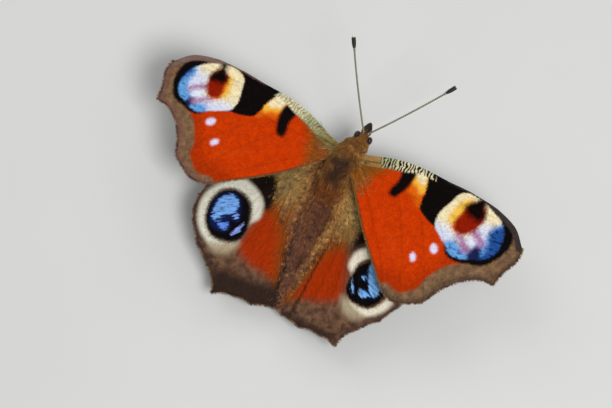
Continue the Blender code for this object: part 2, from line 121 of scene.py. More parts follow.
# A leg's radii at its root, twice on the femur, twice at the knee, twice on the tibia, at
# the foot's start and at the toe
LEG_RADII = [0.22, 0.26, 0.27, 0.17, 0.18, 0.15, 0.17, 0.115, 0.10]
FOOT_DOWN, CLAW_LENGTH, TARSUS_JOINTS, LEG_POINTS = 0.3, 0.34, 5, 260
FORELEG_MIDDLE = [-0.30, -0.55, -0.95, -1.05]
FORELEG_PATH = [(0.85, -3.75, -1.95), (0.95, -4.9, -2.35), (0.85, -6.2, -2.15),
                (0.74, -6.75, -1.55)]
FORELEG_RADII = [0.16, 0.2, 0.18, 0.08]

# Wings, with the numbers of the solids. skew moves a wing's rear part forward with its
# distance out, past u = SKEW_FROM, fully up to v = SKEW_FULL and not at all from
# v = SKEW_NONE. tuck is how much nearer the abdomen the inner margin comes, behind
# v = TUCK_BEHIND.
SKEW_FROM, SKEW_FULL, SKEW_NONE = 7.0, 12.0, 25.0
TUCK_BEHIND = -2.5
SPLINE_STEP, SCALLOP_POINTS = 0.35, 24
WING_ROWS, WING_COLUMNS = 210, 160
FOREWING = {
    "slot": "red_scales",
    "root": {"left": (3.22, -2.6, 1.5), "right": (2.17, -2.6, 1.5)},
    "reach": {"left": 0.975, "right": 1.02},
    "skew": {"left": 0.075, "right": -0.075},
    "tuck": {"left": 0.0, "right": 0.0},
    "sweep": {"left": 56.7, "right": 56.3},
    "dihedral": 8.0, "arch": 0.5, "arch_middle": 14.0,
    "leading": [(-1.9, -1.0), (-0.95, 1.5), (-0.35, 3.8), (0.10, 5.6), (1.0, 8.0),
                (2.5, 10.9), (4.6, 14.0), (7.2, 18.1), (10.2, 21.8), (13.4, 24.2),
                (16.8, 24.9)],
    "margin": [(16.8, 24.9), (19.6, 23.0), (22.4, 20.0), (21.2, 16.4), (21.9, 13.0),
               (24.1, 9.3), (23.9, 5.4), (21.8, 2.9)],
    "scallop": [-0.35, 0.25, 0.40, 0.20, 0.15, 0.0, -0.30],
    "inner": [(21.8, 2.9), (17.4, 1.6), (11.3, 0.0), (6.1, -0.9), (1.5, -1.5),
              (-1.9, -2.4)],
    "veins": [
        [(-0.6, 0.6), (0.6, 4.0), (1.5, 7.6), (2.9, 10.7), (4.6, 14.0)],
        [(-0.6, 0.3), (1.2, 3.9), (3.0, 8.0), (5.2, 11.9), (7.6, 15.2), (12.3, 20.6),
         (16.8, 24.9)],
        [(4.2, 10.2), (5.4, 14.4), (7.2, 18.1)],
        [(6.0, 13.1), (8.0, 18.1), (10.2, 21.8)],
        [(9.8, 17.8), (11.4, 21.0), (13.4, 24.2)],
        [(12.3, 20.6), (16.0, 22.2), (19.6, 23.0)],
        [(7.6, 15.2), (12.0, 17.8), (17.5, 19.5), (22.4, 20.0)],
        [(8.5, 13.6), (12.5, 15.4), (17.0, 16.4), (21.2, 16.4)],
        [(7.6, 15.2), (8.5, 13.6), (9.3, 11.4)],
        [(-0.3, -0.2), (3.2, 3.6), (6.3, 7.6), (9.3, 11.4), (14.5, 13.0), (21.9, 13.0)],
        [(7.6, 9.2), (12.5, 9.6), (18.0, 9.8), (24.1, 9.3)],
        [(4.9, 5.8), (10.0, 6.2), (17.0, 6.2), (23.9, 5.4)],
        [(-0.1, -0.7), (5.0, 0.7), (11.5, 1.9), (17.5, 2.9), (21.8, 2.9)],
    ],
    # Depth of the brown margin, by place along v
    "band": [(3.0, 0.9), (5.5, 1.1), (8.0, 1.6), (10.0, 2.4), (13.0, 2.5), (16.0, 2.4),
             (20.0, 3.2), (23.0, 3.0), (25.0, 2.0)],
    # Closed shapes in plan that each have one colour, from the lowest to the uppermost
    "pattern": {
        "base_hair": ("#8E4E12", 1.6, [
            (-3, -3), (-3, 3.4), (-0.2, 4.6), (1.4, 3.8), (3.2, 2.0), (4.8, 0.0), (5.6, -2.2)]),
        "halo": ("#0A0708", 0.3, [
            (9.6, 21.0), (11.0, 22.2), (12.3, 23.0), (13.6, 23.5), (15.2, 23.7), (16.7, 23.3),
            (17.9, 22.5), (18.8, 21.5), (19.5, 20.3), (19.7, 19.2), (19.2, 17.8), (18.8, 16.6),
            (18.2, 15.6), (17.0, 14.9), (14.0, 15.0), (11.0, 17.0), (6.8, 16.6), (7.0, 18.6)]),
        "bar_orange": ("#E0640A", 0.7, [
            (3.6, 9.4), (4.4, 11.3), (7.4, 10.9), (8.9, 10.4), (8.6, 9.7), (7.2, 9.3),
            (6.2, 8.4), (5.0, 8.6)]),
        "bar_yellow": ("#F4B63E", 0.5, [
            (3.2, 9.7), (3.8, 11.8), (6.4, 11.6), (7.2, 10.9), (7.2, 10.1), (6.2, 9.8),
            (5.4, 9.1), (4.6, 9.0)]),
        "bar_cream": ("#F6E6BC", 0.5, [
            (2.7, 10.2), (3.0, 11.7), (4.8, 11.6), (5.9, 11.3), (5.9, 10.5), (5.0, 9.9),
            (4.3, 9.4), (3.5, 9.5)]),
        "costal_patch": ("#0B0706", 0.2, [
            (10.0, 18.0), (6.9, 18.6), (4.8, 15.6), (2.8, 12.6), (2.6, 11.7), (5.0, 11.5),
            (6.5, 11.2), (7.4, 10.8), (8.4, 10.5), (9.2, 10.4), (10.3, 10.9), (11.4, 11.8),
            (12.5, 12.9), (13.0, 14.0)]),
        "bar_black": ("#0E0706", 0.42, [
            (2.4, 8.0), (3.0, 9.4), (3.9, 9.4), (4.9, 8.8), (6.0, 7.9), (6.8, 6.9), (7.2, 5.8),
            (6.6, 5.0), (5.7, 5.3), (4.8, 6.2), (3.8, 6.8), (2.8, 7.1)]),
        "eye": ("#F2E2B6", 0.2, [
            (7.7, 16.6), (7.7, 18.0), (8.3, 19.4), (9.3, 20.3), (10.4, 21.1), (11.8, 21.8),
            (13.4, 22.2), (15.0, 22.3), (16.8, 21.8), (18.0, 21.0), (18.7, 19.7), (18.5, 18.0),
            (18.1, 16.4), (17.2, 15.3), (15.6, 14.6), (14.0, 13.8), (12.4, 13.1), (11.0, 13.4),
            (9.8, 14.3), (8.6, 15.6)]),
        "eye_lilac": ("#D8DDF0", 1.3, [
            (12.8, 19.6), (13.6, 21.4), (14.0, 24.0), (20.0, 23.0), (21.0, 16.0), (17.0, 12.0),
            (12.0, 12.0), (12.4, 14.6), (14.6, 16.4), (14.6, 18.4)]),
        "eye_blue": ("#66A4E2", 0.7, [
            (14.4, 24.0), (14.0, 22.0), (14.9, 21.2), (16.2, 20.6), (16.9, 19.6), (17.0, 18.2),
            (16.7, 17.0), (15.6, 15.7), (17.0, 14.0), (21.0, 16.0), (20.0, 23.0)]),
        "eye_deep_blue": ("#235098", 0.6, [
            (14.4, 24.0), (14.7, 21.9), (16.0, 21.7), (17.2, 21.4), (18.3, 20.8), (19.2, 19.6),
            (20.5, 19.6), (20.0, 23.0), (16.0, 24.5)]),
        "eye_cleft": ("#16224E", 0.4, [
            (16.7, 17.9), (17.3, 17.2), (18.0, 16.9), (19.4, 17.2), (19.4, 18.0), (18.2, 18.1),
            (17.4, 18.2)]),
        "eye_white": ("#E4ECFA", 0.7, [
            (15.2, 18.4), (16.2, 18.7), (16.8, 18.2), (16.2, 17.7), (15.4, 17.7)]),
        "eye_pink": ("#A8689C", 0.7, [
            (13.6, 18.8), (15.0, 19.3), (16.6, 19.8), (16.7, 19.2), (15.4, 18.8), (14.2, 18.2)]),
        "eye_pink_low": ("#AE7098", 0.7, [
            (14.0, 16.5), (15.8, 17.3), (17.3, 17.7), (17.3, 17.0), (15.8, 16.6), (14.4, 16.0)]),
        "eye_orange": ("#E06A08", 0.5, [
            (9.8, 18.4), (9.9, 17.4), (10.8, 16.5), (11.9, 15.8), (13.2, 15.6), (14.2, 16.3),
            (14.0, 17.4), (11.6, 18.4)]),
        "eye_yellow": ("#F4C048", 0.6, [
            (9.4, 18.0), (9.6, 17.2), (10.3, 16.4), (11.2, 15.6), (12.2, 15.2), (12.4, 15.8),
            (11.4, 16.4), (10.6, 17.2), (10.2, 18.0)]),
        "eye_pupil": ("#8E1A02", 0.45, [
            (10.0, 19.9), (11.0, 20.1), (12.5, 19.9), (13.3, 19.3), (14.0, 18.5), (14.5, 17.5),
            (14.4, 16.7), (13.6, 16.1), (12.6, 16.1), (11.8, 16.6), (11.1, 17.3), (10.3, 17.7),
            (9.9, 18.6)]),
        "eye_black": ("#0A0403", 0.7, [
            (8.6, 20.9), (9.6, 21.2), (10.6, 20.1), (12.2, 20.0), (12.9, 19.2), (12.2, 18.5),
            (11.6, 17.9), (10.6, 17.6), (10.0, 18.2), (9.7, 19.3), (9.0, 20.0)]),
        "dot_rim": ("#D0543A", 0.16, [
            (15.1, 12.7), (15.7, 13.6), (16.7, 13.7), (17.3, 13.1), (16.9, 12.3), (15.9, 12.1)]),
        "dot": ("#E3DDF6", 0.28, [
            (15.35, 12.75), (15.8, 13.35), (16.6, 13.45), (17.05, 13.0), (16.7, 12.45),
            (15.9, 12.3)]),
        "dot_rim_2": ("#D0543A", 0.16, [
            (16.3, 9.4), (16.9, 10.1), (17.8, 10.2), (18.3, 9.6), (17.9, 9.0), (16.9, 8.9)]),
        "dot_2": ("#E3DDF6", 0.28, [
            (16.55, 9.45), (17.0, 9.9), (17.7, 9.95), (18.05, 9.55), (17.75, 9.15), (17.0, 9.05)]),
    },
}
HINDWING = {
    "slot": "rust_scales",
    "root": {"left": (2.98, 2.56, 0.3), "right": (1.93, 2.56, 0.3)},
    "reach": {"left": 1.0, "right": 1.0},
    "skew": {"left": 0.0, "right": 0.0},
    "tuck": {"left": 0.9, "right": 0.0},
    "sweep": {"left": 11.6, "right": -1.5},
    "dihedral": 7.0, "arch": 0.4, "arch_middle": 10.0,
    "leading": [(-1.7, 2.8), (0.8, 3.0), (4.5, 2.0), (9.5, -0.4), (13.6, -2.6),
                (16.2, -5.4), (17.5, -8.8)],
    "margin": [(17.5, -8.8), (17.4, -13.2), (15.6, -16.8), (12.9, -19.8),
               (10.9, -24.0), (7.6, -23.4), (4.1, -23.8), (0.4, -23.3)],
    "scallop": [-0.30, 0.10, 0.15, 0.55, 0.35, 0.25, 0.25],
    "inner": [(0.4, -23.3), (0.0, -20.0), (0.5, -13.0), (1.0, -7.5), (0.7, -3.2),
              (-0.6, -1.6), (-1.7, -1.2)],
    "veins": [
        [(0.4, 0.6), (4.2, -0.2), (10.5, -3.2), (17.5, -8.8)],
        [(3.1, -0.1), (6.2, -3.6), (11.5, -8.6), (17.4, -13.2)],
        [(6.2, -3.6), (9.0, -8.2), (12.4, -13.0), (15.6, -16.8)],
        [(7.2, -8.0), (9.5, -12.6), (12.9, -19.8)],
        [(8.0, -6.5), (7.2, -8.0), (5.9, -9.6)],
        [(0.4, -0.2), (3.6, -4.4), (5.9, -9.6), (8.4, -16.0), (10.9, -24.0)],
        [(5.4, -8.4), (6.6, -14.5), (7.6, -23.4)],
        [(3.6, -4.4), (4.4, -12.0), (4.1, -23.8)],
        [(0.6, -0.9), (2.3, -6.5), (2.1, -14.5), (0.4, -23.3)],
    ],
    "band": [(-24.0, 2.0), (-18.0, 1.6), (-12.0, 0.7), (-6.0, 0.6)],
    # How far the inner margin is folded down beside the abdomen
    "fold": {"left": 0.8, "right": 0.7},
    "pattern": {
        "base_hair": ("#86682E", 1.2, [
            (-3, 3), (4.6, 2.6), (6.6, -2.0), (5.9, -6.0), (4.4, -9.0), (2.0, -11.0),
            (-2.0, -10.0)]),
        "inner_brown": ("#6A3A18", 0.9, [
            (-2, -6), (2.6, -8), (2.3, -13), (1.8, -19), (1.2, -24), (-2, -24)]),
        "amber": ("#8E420E", 1.2, [
            (0.0, -6.5), (3.0, -6.3), (5.6, -6.6), (6.6, -9.0), (6.0, -12.0), (4.4, -15.0),
            (3.0, -18.2), (0.6, -18.2)]),
        "red_field": ("#A83004", 1.3, [
            (3.0, -12.0), (4.0, -10.0), (5.2, -8.8), (6.4, -8.8), (7.4, -10.2), (8.3, -12.2),
            (8.9, -14.4), (8.6, -16.0), (6.6, -17.4), (4.0, -18.2), (2.0, -18.2), (2.5, -15.0)]),
        # A dark line along the inner fold: on the left wing it is painted shadow in the groove
        # beside the abdomen; on the right wing it lies further out
        "fold_line": ("#28180F", 0.35, [
            (0.3, -9.0), (0.9, -9.0), (1.0, -16.0), (0.8, -23.5), (0.0, -23.5), (0.3, -16.0)]),
        # Dark brown of the lower part; on the left wing it reaches further, painting the shadow
        # over that part
        "hind_dark_and_shadow": ("#33251E", 1.2, [
            (-1.0, -20.2), (4.0, -20.0), (8.0, -19.8), (11.4, -20.2), (11.2, -25.0),
            (7.0, -25.0), (-1.0, -25.0)]),
        "black_patch": ("#170F0B", 0.7, [
            (5.7, -3.4), (7.3, -2.2), (9.8, -3.0), (10.4, -4.4), (8.8, -5.4), (7.4, -6.8),
            (6.7, -8.0), (5.7, -8.0), (5.4, -5.5)]),
        "ring": ("#DCD8C6", 0.5, [
            (6.8, -9.4), (7.0, -7.4), (8.1, -5.9), (9.6, -4.9), (11.2, -4.4), (13.2, -4.9),
            (15.0, -6.2), (16.4, -8.0), (17.0, -10.0), (16.9, -12.2), (16.2, -14.0),
            (14.8, -15.6), (13.2, -16.5), (11.6, -16.5), (10.2, -15.9), (9.2, -14.6),
            (8.9, -12.6), (8.0, -11.0), (7.3, -10.4)]),
        "ring_low": ("#B0A082", 0.9, [
            (9.0, -14.8), (10.4, -15.0), (12.2, -15.8), (13.6, -16.2), (12.8, -17.2),
            (11.4, -17.3), (9.8, -16.4)]),
        "ring_shade": ("#5A4A3C", 0.35, [
            (8.2, -10.5), (8.6, -8.3), (10.1, -6.8), (12.2, -6.3), (14.3, -7.0), (15.5, -9.0),
            (15.8, -11.3), (15.2, -13.5), (13.8, -15.0), (11.8, -15.4), (10.0, -15.1),
            (8.7, -14.0), (8.2, -12.3)]),
        "disc": ("#0A070A", 0.22, [
            (8.6, -10.5), (9.0, -8.6), (10.4, -7.2), (12.2, -6.7), (14.0, -7.4), (15.2, -9.2),
            (15.5, -11.2), (15.0, -13.2), (13.6, -14.7), (11.8, -15.0), (10.2, -14.8),
            (8.9, -13.8), (8.4, -12.2)]),
        "disc_navy": ("#101C48", 0.45, [
            (10.2, -9.6), (11.0, -7.6), (12.8, -7.2), (14.6, -8.6), (15.0, -11.0), (14.4, -13.2),
            (12.4, -13.8), (11.2, -13.0), (11.6, -11.6), (10.2, -11.4)]),
        "blue_upper": ("#7AAEF2", 0.24, [
            (10.9, -8.6), (11.6, -7.7), (12.8, -7.6), (14.0, -8.6), (14.6, -10.2), (14.5, -11.8),
            (13.8, -12.3), (13.2, -11.5), (12.2, -10.7), (11.1, -10.2)]),
        "blue_right": ("#7AAEF2", 0.24, [
            (10.9, -7.9), (11.6, -7.4), (13.0, -8.4), (14.6, -10.6), (14.3, -11.6),
            (13.9, -12.4), (13.2, -12.6), (12.6, -11.8), (12.1, -10.9), (11.4, -9.6)]),
        "blue_spot": ("#7FA8F0", 0.2, [
            (10.2, -10.7), (10.6, -10.3), (11.2, -10.5), (11.2, -11.0), (10.7, -11.2),
            (10.3, -11.0)]),
        "blue_lower": ("#6490EC", 0.22, [
            (11.6, -12.1), (12.5, -12.2), (13.5, -12.3), (13.3, -13.1), (12.4, -13.5),
            (11.6, -13.0)]),
        "blue_streak": ("#90A2EE", 0.16, [
            (9.0, -11.5), (9.4, -11.6), (10.1, -12.6), (10.8, -13.8), (10.3, -14.0),
            (9.6, -13.3), (9.1, -12.4)]),
    },
}
WINGS = {"forewing": FOREWING, "hindwing": HINDWING}
# A painted highlight of sunlight lightens the forewing's ground colour along this line.
# Scales run out from a place this far behind and inside the root, and their angle is
# turned to mm at this radius.
HIGHLIGHT_LINE = [(13.5, 5.6), (17.8, 7.6)]
FAN_INSIDE, FAN_RADIUS = 3.0, 14.0
# How far a right wing's markings lie from the left one's in plan, in mm
MARKING_SHIFT = {"hindwing_right": (0.8, 1.3)}
# How a wing's marking lies against the plan, in mm: moved by u and v, and made wider
MARKING_CHANGES = {
    "forewing_left": {"band": (0, 0, 0.3)},
    "forewing_right": {
        "halo": (-0.2, 0.0, 0.35), "eye": (-0.1, 0.1, 0.25), "eye_blue": (-0.3, -0.3, 0.3),
        "eye_deep_blue": (0.1, -0.4, 0.8), "eye_cleft": (-0.1, 0.9, 0.3),
        "eye_white": (0, 0, -0.2), "eye_pink": (-0.2, 0.0, 0.12),
        "eye_pink_low": (-0.2, 0.0, 0.12), "eye_pupil": (-0.45, 0.0, 0.3),
        "eye_black": (-0.8, 0.0, 0.25), "eye_orange": (-0.6, 0.0, 0.3),
        "eye_yellow": (-0.7, 0.0, 0.35), "bar_black": (-0.4, 0.2, 0.0),
        "bar_cream": (-0.8, 0.0, -0.1), "bar_yellow": (-0.6, 0.1, 0.0), "band": (0, 0, 0.5),
        "base_hair": (0.7, 0, -0.2)},
    "hindwing_left": {"blue_right": (0, 0, -3), "blue_streak": (0.05, 0, -0.12),
                      "blue_lower": (-0.1, 0, -0.1)},
    "hindwing_right": {
        # The dark lower part is smaller here, as its painted shadow lies on the left wing only
        "hind_dark_and_shadow": (0, 0, -1.4), "fold_line": (2.3, 2.0, -0.25),
        "ring": (0.5, 0.1, -0.3), "ring_shade": (0.25, 0, -0.3), "disc": (0.05, -0.15, -0.4),
        "black_patch": (0.8, 0, -0.6), "red_field": (0, 0.4, 0.0), "disc_navy": (0, 0, -0.7),
        "blue_upper": (0, 0, -3), "blue_spot": (0.2, 0.3, -0.2),
        "blue_lower": (-0.45, -0.1, -0.15), "blue_streak": (0.05, 0.2, -0.3)},
}

# Hair. A lock is as thick as this share of its width, starts this deep in mm under the
# skin, has so many points and is so wide in its unwrap. Clumps draw it in by their pull
# and are so many mm apart.
COAT_SEED = 27
LOCK_THICKNESS, ROOT_DEPTH, LOCK_POINTS, LOCK_IN_UNWRAP = 0.45, 0.05, 10, 0.003
CLUMP_PULL, BODY_CLUMP, WING_CLUMP = 0.75, 0.42, 0.36
BODY_COATS = {
    "coat_thorax": dict(count=12400, span=(-4.7, 4.9), length=1.3, rise=0.95, forward=False,
                        width=0.085, slot="golden_hair", stray=0.4),
    "coat_head": dict(count=9000, span=(-7.25, -4.1), length=0.95, rise=1.15, forward=False,
                      width=0.07, slot="golden_hair", stray=0.6),
    "coat_collar": dict(count=5200, span=(-5.6, -3.7), length=1.1, rise=1.5, forward=True,
                        width=0.07, slot="golden_hair", stray=0.5),
    "coat_abdomen": dict(count=12400, span=(4.5, 16.9), length=0.8, rise=0.7, forward=False,
                         width=0.085, slot="abdomen_hair", stray=0.4),
}
WING_HAIRS = {"forewing": 2400, "hindwing": 11500}
PLACES_TRIED, FRINGE_STEP = 14, 0.045
LIMB_HAIR_LENGTH, LIMB_HAIR_WIDTH = 0.7, 0.06

# Stage: each light's place and size in metres and its share of the key light's power
LIGHTS = {
    "key": ((-0.18, 0.10, 0.42), 0.22, 1.0),
    "fill": ((0.35, -0.15, 0.30), 0.30, 0.35),
    "rim": ((0.05, -0.45, 0.22), 0.25, 0.30),
}
FLOOR_HALF = 1.5
SKY_COLOUR, SKY_STRENGTH = (0.95, 0.97, 1.0, 1.0), 0.27
# Camera: degrees turned in the picture and tilted, distance in mm; the middle of the
# picture and a place of the body in it, in pixels, pixels a mm, and that place in mm
VIEW_ROLL, VIEW_TILT, VIEW_DISTANCE = -28.5, -5.0, 350
PHOTO_MIDDLE, BODY_IN_PHOTO, PHOTO_PER_MM = (306, 204), (348, 165), 6.0
BODY_PLACE = (-1.0, -1.34, 0.0)


def linear(hex_colour):
    """An sRGB hex colour as linear red, green, blue and alpha."""
    srgb = np.array([int(hex_colour[i:i + 2], 16) / 255 for i in (1, 3, 5)])
    rgb = np.where(srgb <= 0.04045, srgb / 12.92, ((srgb + 0.055) / 1.055) ** 2.4)
    return (*(float(c) for c in rgb), 1.0)


# Places

def pitched(points):
    """Body axes to the axes over the floor: turned head up about X, and lifted."""
    x, y, z = np.moveaxis(np.asarray(points, float), -1, 0)
    cos, sin = math.cos(PITCH), math.sin(PITCH)
    return np.stack([x, y * cos + z * sin, z * cos - y * sin + BODY_HEIGHT], -1)


def stance_shift():
    """What centres the butterfly over the origin, in mm: the solids' two eyes say."""
    corners = [np.array(corner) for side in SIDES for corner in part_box("eye_" + side)]
    return sum(corners) / 4 / MM - pitched(HEAD_MIDDLE - (0, EYE_FORWARD, 0))


SHIFT = stance_shift()


def over_floor(points):
    """Millimetres over the floor to metres in the frame."""
    return (np.asarray(points, float) + SHIFT) * MM


def in_frame(points):
    """Body axes in millimetres to metres in the frame."""
    return over_floor(pitched(points))


# Curves and surfaces

def through(knots, values, at):
    """A monotone cubic through values at knots: Hermite pieces whose slopes are the
    harmonic mean of their neighbours' slopes, or zero where those change sign."""
    knots, values, at = (np.asarray(a, float) for a in (knots, values, at))
    step = np.diff(knots)[:, None]
    rise = np.diff(values.reshape(len(knots), -1), axis=0) / step
    before, after = rise[:-1], rise[1:]
    same = before * after > 0
    middle = np.where(same, 2 * before * after / np.where(same, before + after, 1), 0)
    slope = np.vstack([rise[:1], middle, rise[-1:]])
    flat = values.reshape(len(knots), -1)
    i = np.clip(np.searchsorted(knots, at, "right") - 1, 0, len(knots) - 2)
    h = step[i]
    t = ((at - knots[i])[:, None]) / h
    made = ((1 + 2 * t) * (1 - t) ** 2 * flat[i] + t * (1 - t) ** 2 * h * slope[i]
            + t * t * (3 - 2 * t) * flat[i + 1] + t * t * (t - 1) * h * slope[i + 1])
    return made.reshape(at.shape + values.shape[1:])


def spline(points, step=SPLINE_STEP):
    """Points about a step apart on the Catmull-Rom curve through the given ones: cubics
    whose slope at each is half the way from the one before it to the one after."""
    points = np.asarray(points, float)
    ends = np.vstack([2 * points[0] - points[1], points, 2 * points[-1] - points[-2]])
    curve = []
    for a, b, c, d in zip(ends, ends[1:], ends[2:], ends[3:]):
        count = max(1, round(float(np.linalg.norm(c - b)) / step))
        t = (np.arange(count) / count)[:, None]
        curve.append(0.5 * (2 * b + (c - a) * t + (2 * a - 5 * b + 4 * c - d) * t ** 2
                            + (3 * b - a - 3 * c + d) * t ** 3))
    return np.vstack(curve + [points[-1:]])


def closed_spline(points, step=0.2):
    """The same curve round a closed shape, its last point again its first."""
    points = [tuple(p) for p in points]
    curve = spline(points[-2:] + points + points[:2], step)
    distance = np.linalg.norm(curve - points[0], axis=1)
    first = int(np.argmin(distance))
    distance[:first + 3] = np.inf
    return np.vstack([curve[first:int(np.argmin(distance))], curve[first:first + 1]])


def run(curve):
    """The length along a curve up to each of its points."""
    return np.concatenate([[0], np.cumsum(np.linalg.norm(np.diff(curve, axis=0), axis=1))])


def read_off(at, knots, rows):
    """Rows of numbers read off in straight lines between those at the knots."""
    return np.stack([np.interp(at, knots, column) for column in rows.T], 1)


def evenly(curve, count):
    """A count of points at equal lengths along a curve."""
    length = run(curve)
    return read_off(np.linspace(0, length[-1], count), length, curve)


def to_line(points, line):
    """The least distance of each plan point to a line of points: from the nearest place
    on each straight piece, held within its ends."""
    least = np.full(len(points), np.inf)
    for start, way in zip(line[:-1], np.diff(line, axis=0)):
        from_start = points - start
        t = np.clip(from_start @ way / max(way @ way, 1e-12), 0, 1)
        least = np.minimum(least, np.hypot(*(from_start - t[:, None] * way).T))
    return least


def to_shape(points, line):
    """The signed distance to a closed line, less than zero inside it: a point is inside
    if a ray from it crosses the line an odd number of times."""
    within = np.zeros(len(points), bool)
    x, y = points.T
    for (ax, ay), (bx, by) in zip(line, line[1:]):
        if ay != by:
            within ^= ((ay > y) != (by > y)) & (x < ax + (bx - ax) * (y - ay) / (by - ay))
    return np.where(within, -1, 1) * to_line(points, line)


def unit(vectors):
    """Vectors made one long."""
    return vectors / np.maximum(np.linalg.norm(vectors, axis=-1, keepdims=True), 1e-9)


def grid_quads(rows, columns, round_columns=False):
    """Corner numbers of the quads of a grid, its columns closed round if asked."""
    row = np.arange(rows - 1)[:, None]
    column = np.arange(columns if round_columns else columns - 1)[None]
    right = (column + 1) % columns
    return np.stack([row * columns + column, row * columns + right,
                     (row + 1) * columns + right, (row + 1) * columns + column],
                    -1).reshape(-1, 4)


def tube(path, radii, sides, flatten=1.0, upward=(0, 0, 1)):
    """A profile carried along a path: at each point a circle of its radius, squeezed
    along the second axis by flatten, stands square to the path; both ends are shut."""
    path = np.asarray(path, float)
    way = unit(np.gradient(path, axis=0))
    aside = unit(np.cross(way, np.asarray(upward, float)))
    above = np.cross(aside, way)
    turn = np.arange(sides) * 2 * np.pi / sides
    radii = np.asarray(radii, float)[:, None, None]
    rings = path[:, None] + radii * (np.cos(turn)[None, :, None] * aside[:, None]
                                     + flatten * np.sin(turn)[None, :, None] * above[:, None])
    count = len(path)
    points = np.vstack([rings.reshape(-1, 3), path[:1], path[-1:]])
    ring = np.arange(sides)
    after = (ring + 1) % sides
    first, last = count * sides, count * sides + 1
    caps = np.vstack([np.stack([after, ring, np.full(sides, first)], 1),
                      np.stack([ring + (count - 1) * sides, after + (count - 1) * sides,
                                np.full(sides, last)], 1)])
    share = np.concatenate([np.repeat(np.arange(count) / (count - 1), sides), [0, 1]])
    return points, [grid_quads(count, sides, True), caps], share


def blades(roots, ways, normals, lengths, widths, rise, sway):
    """Thin closed hair locks of three sides: three rings of three points and a tip. At a
    share f of its length each has gone forward by f, stands off by rise times f times
    (1.25 - f) and bends aside by sway times f squared."""
    aside = unit(np.cross(ways, normals))
    f = np.array([0.0, 0.42, 0.78, 1.0])
    lift = rise[:, None, None] * (f * (1.25 - f))[None, :, None]
    bend = sway[:, None, None] * (f ** 2)[None, :, None]
    line = roots[:, None] + lengths[:, None, None] * (
        f[None, :, None] * ways[:, None] + lift * normals[:, None] + bend * aside[:, None])
    taper = np.array([0.8, 1.0, 0.62])
    across = np.array([0.5, -0.5, 0.0])[None, None, :, None]
    up = np.array([0.0, 0.0, LOCK_THICKNESS])[None, None, :, None]
    width = widths[:, None, None, None] * taper[None, :, None, None]
    rings = line[:, :3, None] + width * (across * aside[:, None, None]
                                         + up * normals[:, None, None])
    count = len(roots)
    points = np.concatenate([rings.reshape(count, 9, 3), line[:, 3:]], 1).reshape(-1, 3)
    quads = [(r * 3 + c, r * 3 + (c + 1) % 3, r * 3 + 3 + (c + 1) % 3, r * 3 + 3 + c)
             for r in range(2) for c in range(3)]
    triangles = [(6, 7, 9), (7, 8, 9), (8, 6, 9), (2, 1, 0)]
    base = (np.arange(count) * LOCK_POINTS)[:, None, None]
    faces = [(base + np.array(kind)[None]).reshape(-1, len(kind[0]))
             for kind in (quads, triangles)]
    spread = np.array([(c, r) for r in (-0.5, -0.1, 0.25) for c in (0.4, -0.4, 0)]
                      + [(0, 0.5)])
    return points, faces, np.tile(f[[0, 0, 0, 1, 1, 1, 2, 2, 2, 3]], count), spread


# Meshes

def add_piece(name, points, faces, material, replaced=(), values=None, bake=None,
              flip=False):
    """A mesh object from arrays of points in metres and of face corners, riding on the
    still body. values are attributes for its points; bake is its unwrap, by point."""
    mesh = bpy.data.meshes.new(name)
    faces = [f[:, ::-1] if flip else f for f in faces]
    corners = np.concatenate([f.ravel() for f in faces]).astype(np.int32)
    totals = np.concatenate([np.full(len(f), f.shape[1]) for f in faces]).astype(np.int32)
    starts = np.concatenate([[0], np.cumsum(totals)[:-1]]).astype(np.int32)
    mesh.vertices.add(len(points))
    mesh.vertices.foreach_set("co", np.asarray(points, np.float32).ravel())
    mesh.loops.add(len(corners))
    mesh.loops.foreach_set("vertex_index", corners)
    mesh.polygons.add(len(totals))
    mesh.polygons.foreach_set("loop_start", starts)
    mesh.polygons.foreach_set("loop_total", totals)
    mesh.polygons.foreach_set("use_smooth", np.ones(len(totals), bool))
    mesh.update(calc_edges=True)
    for key, value in (values or {}).items():
        value = np.asarray(value, np.float32)
        vector = value.ndim == 2
        made = mesh.attributes.new(key, "FLOAT_VECTOR" if vector else "FLOAT", "POINT")
        made.data.foreach_set("vector" if vector else "value", value.ravel())
    if bake is not None:
        layer = mesh.uv_layers.new(name="OFBake")
        layer.data.foreach_set("uv", np.asarray(bake, np.float32)[corners].ravel())
    mesh.materials.append(material)
    piece = bpy.data.objects.new(name, mesh)
    bpy.context.scene.collection.objects.link(piece)
    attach(piece, "root")
    if replaced:
        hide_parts(*replaced)


def joined(parts):
    """Several (points, faces, share) as one."""
    points, faces, shares, first = [], [], [], 0
    for made in parts:
        points.append(made[0])
        faces += [f + first for f in made[1]]
        shares.append(made[2])
        first += len(made[0])
    return np.vstack(points), faces, np.concatenate(shares)


# Materials

# The shader nodes in use: each one's type, its settings, the inputs that its values go to
# in their order, and the output that it gives
NODES = {
    "mix": ("Mix", {"data_type": "RGBA"}, (0, 6, 7), 2),
    "ramp": ("MapRange", {"interpolation_type": "SMOOTHSTEP"}, range(5), 0),
    "attribute": ("Attribute", {}, (), "Fac"),
    "place": ("TexCoord", {}, (), "Object"),
    "noise": ("TexNoise", {}, ("Vector", "Scale", "Detail"), 0),
    "cells": ("TexVoronoi", {}, ("Vector", "Scale"), "Distance"),
    "waves": ("TexWave", {}, ("Vector", "Scale", "Distortion", "Detail", "Detail Scale"), "Fac"),
    "scaled": ("VectorMath", {"operation": "MULTIPLY"}, (0, 1), 0),
    "bump": ("Bump", {}, ("Height", "Strength", "Distance"), 0),
    "channels": ("SeparateColor", {}, (0,), 0),
    "combined": ("CombineColor", {}, (0, 1, 2), 0),
    "axes": ("SeparateXYZ", {}, (0,), 0),
    **{operation: ("Math", {"operation": operation}, (0, 1), 0)
       for operation in ("ADD", "SUBTRACT", "MULTIPLY", "SINE", "ABSOLUTE", "FRACT")},
}
# Markings of the wings that lie under the brown margin, and what a ring turns to on the
# right wings
UNDER_BAND = ("base_hair", "inner_brown", "amber", "red_field")
RIGHT_RINGS = {"ring": "#F0E6D0", "ring_shade": "#5E4228"}
# From one fine bar of the forewing's front edge to the next, in mm
BAR_STEP = 0.52


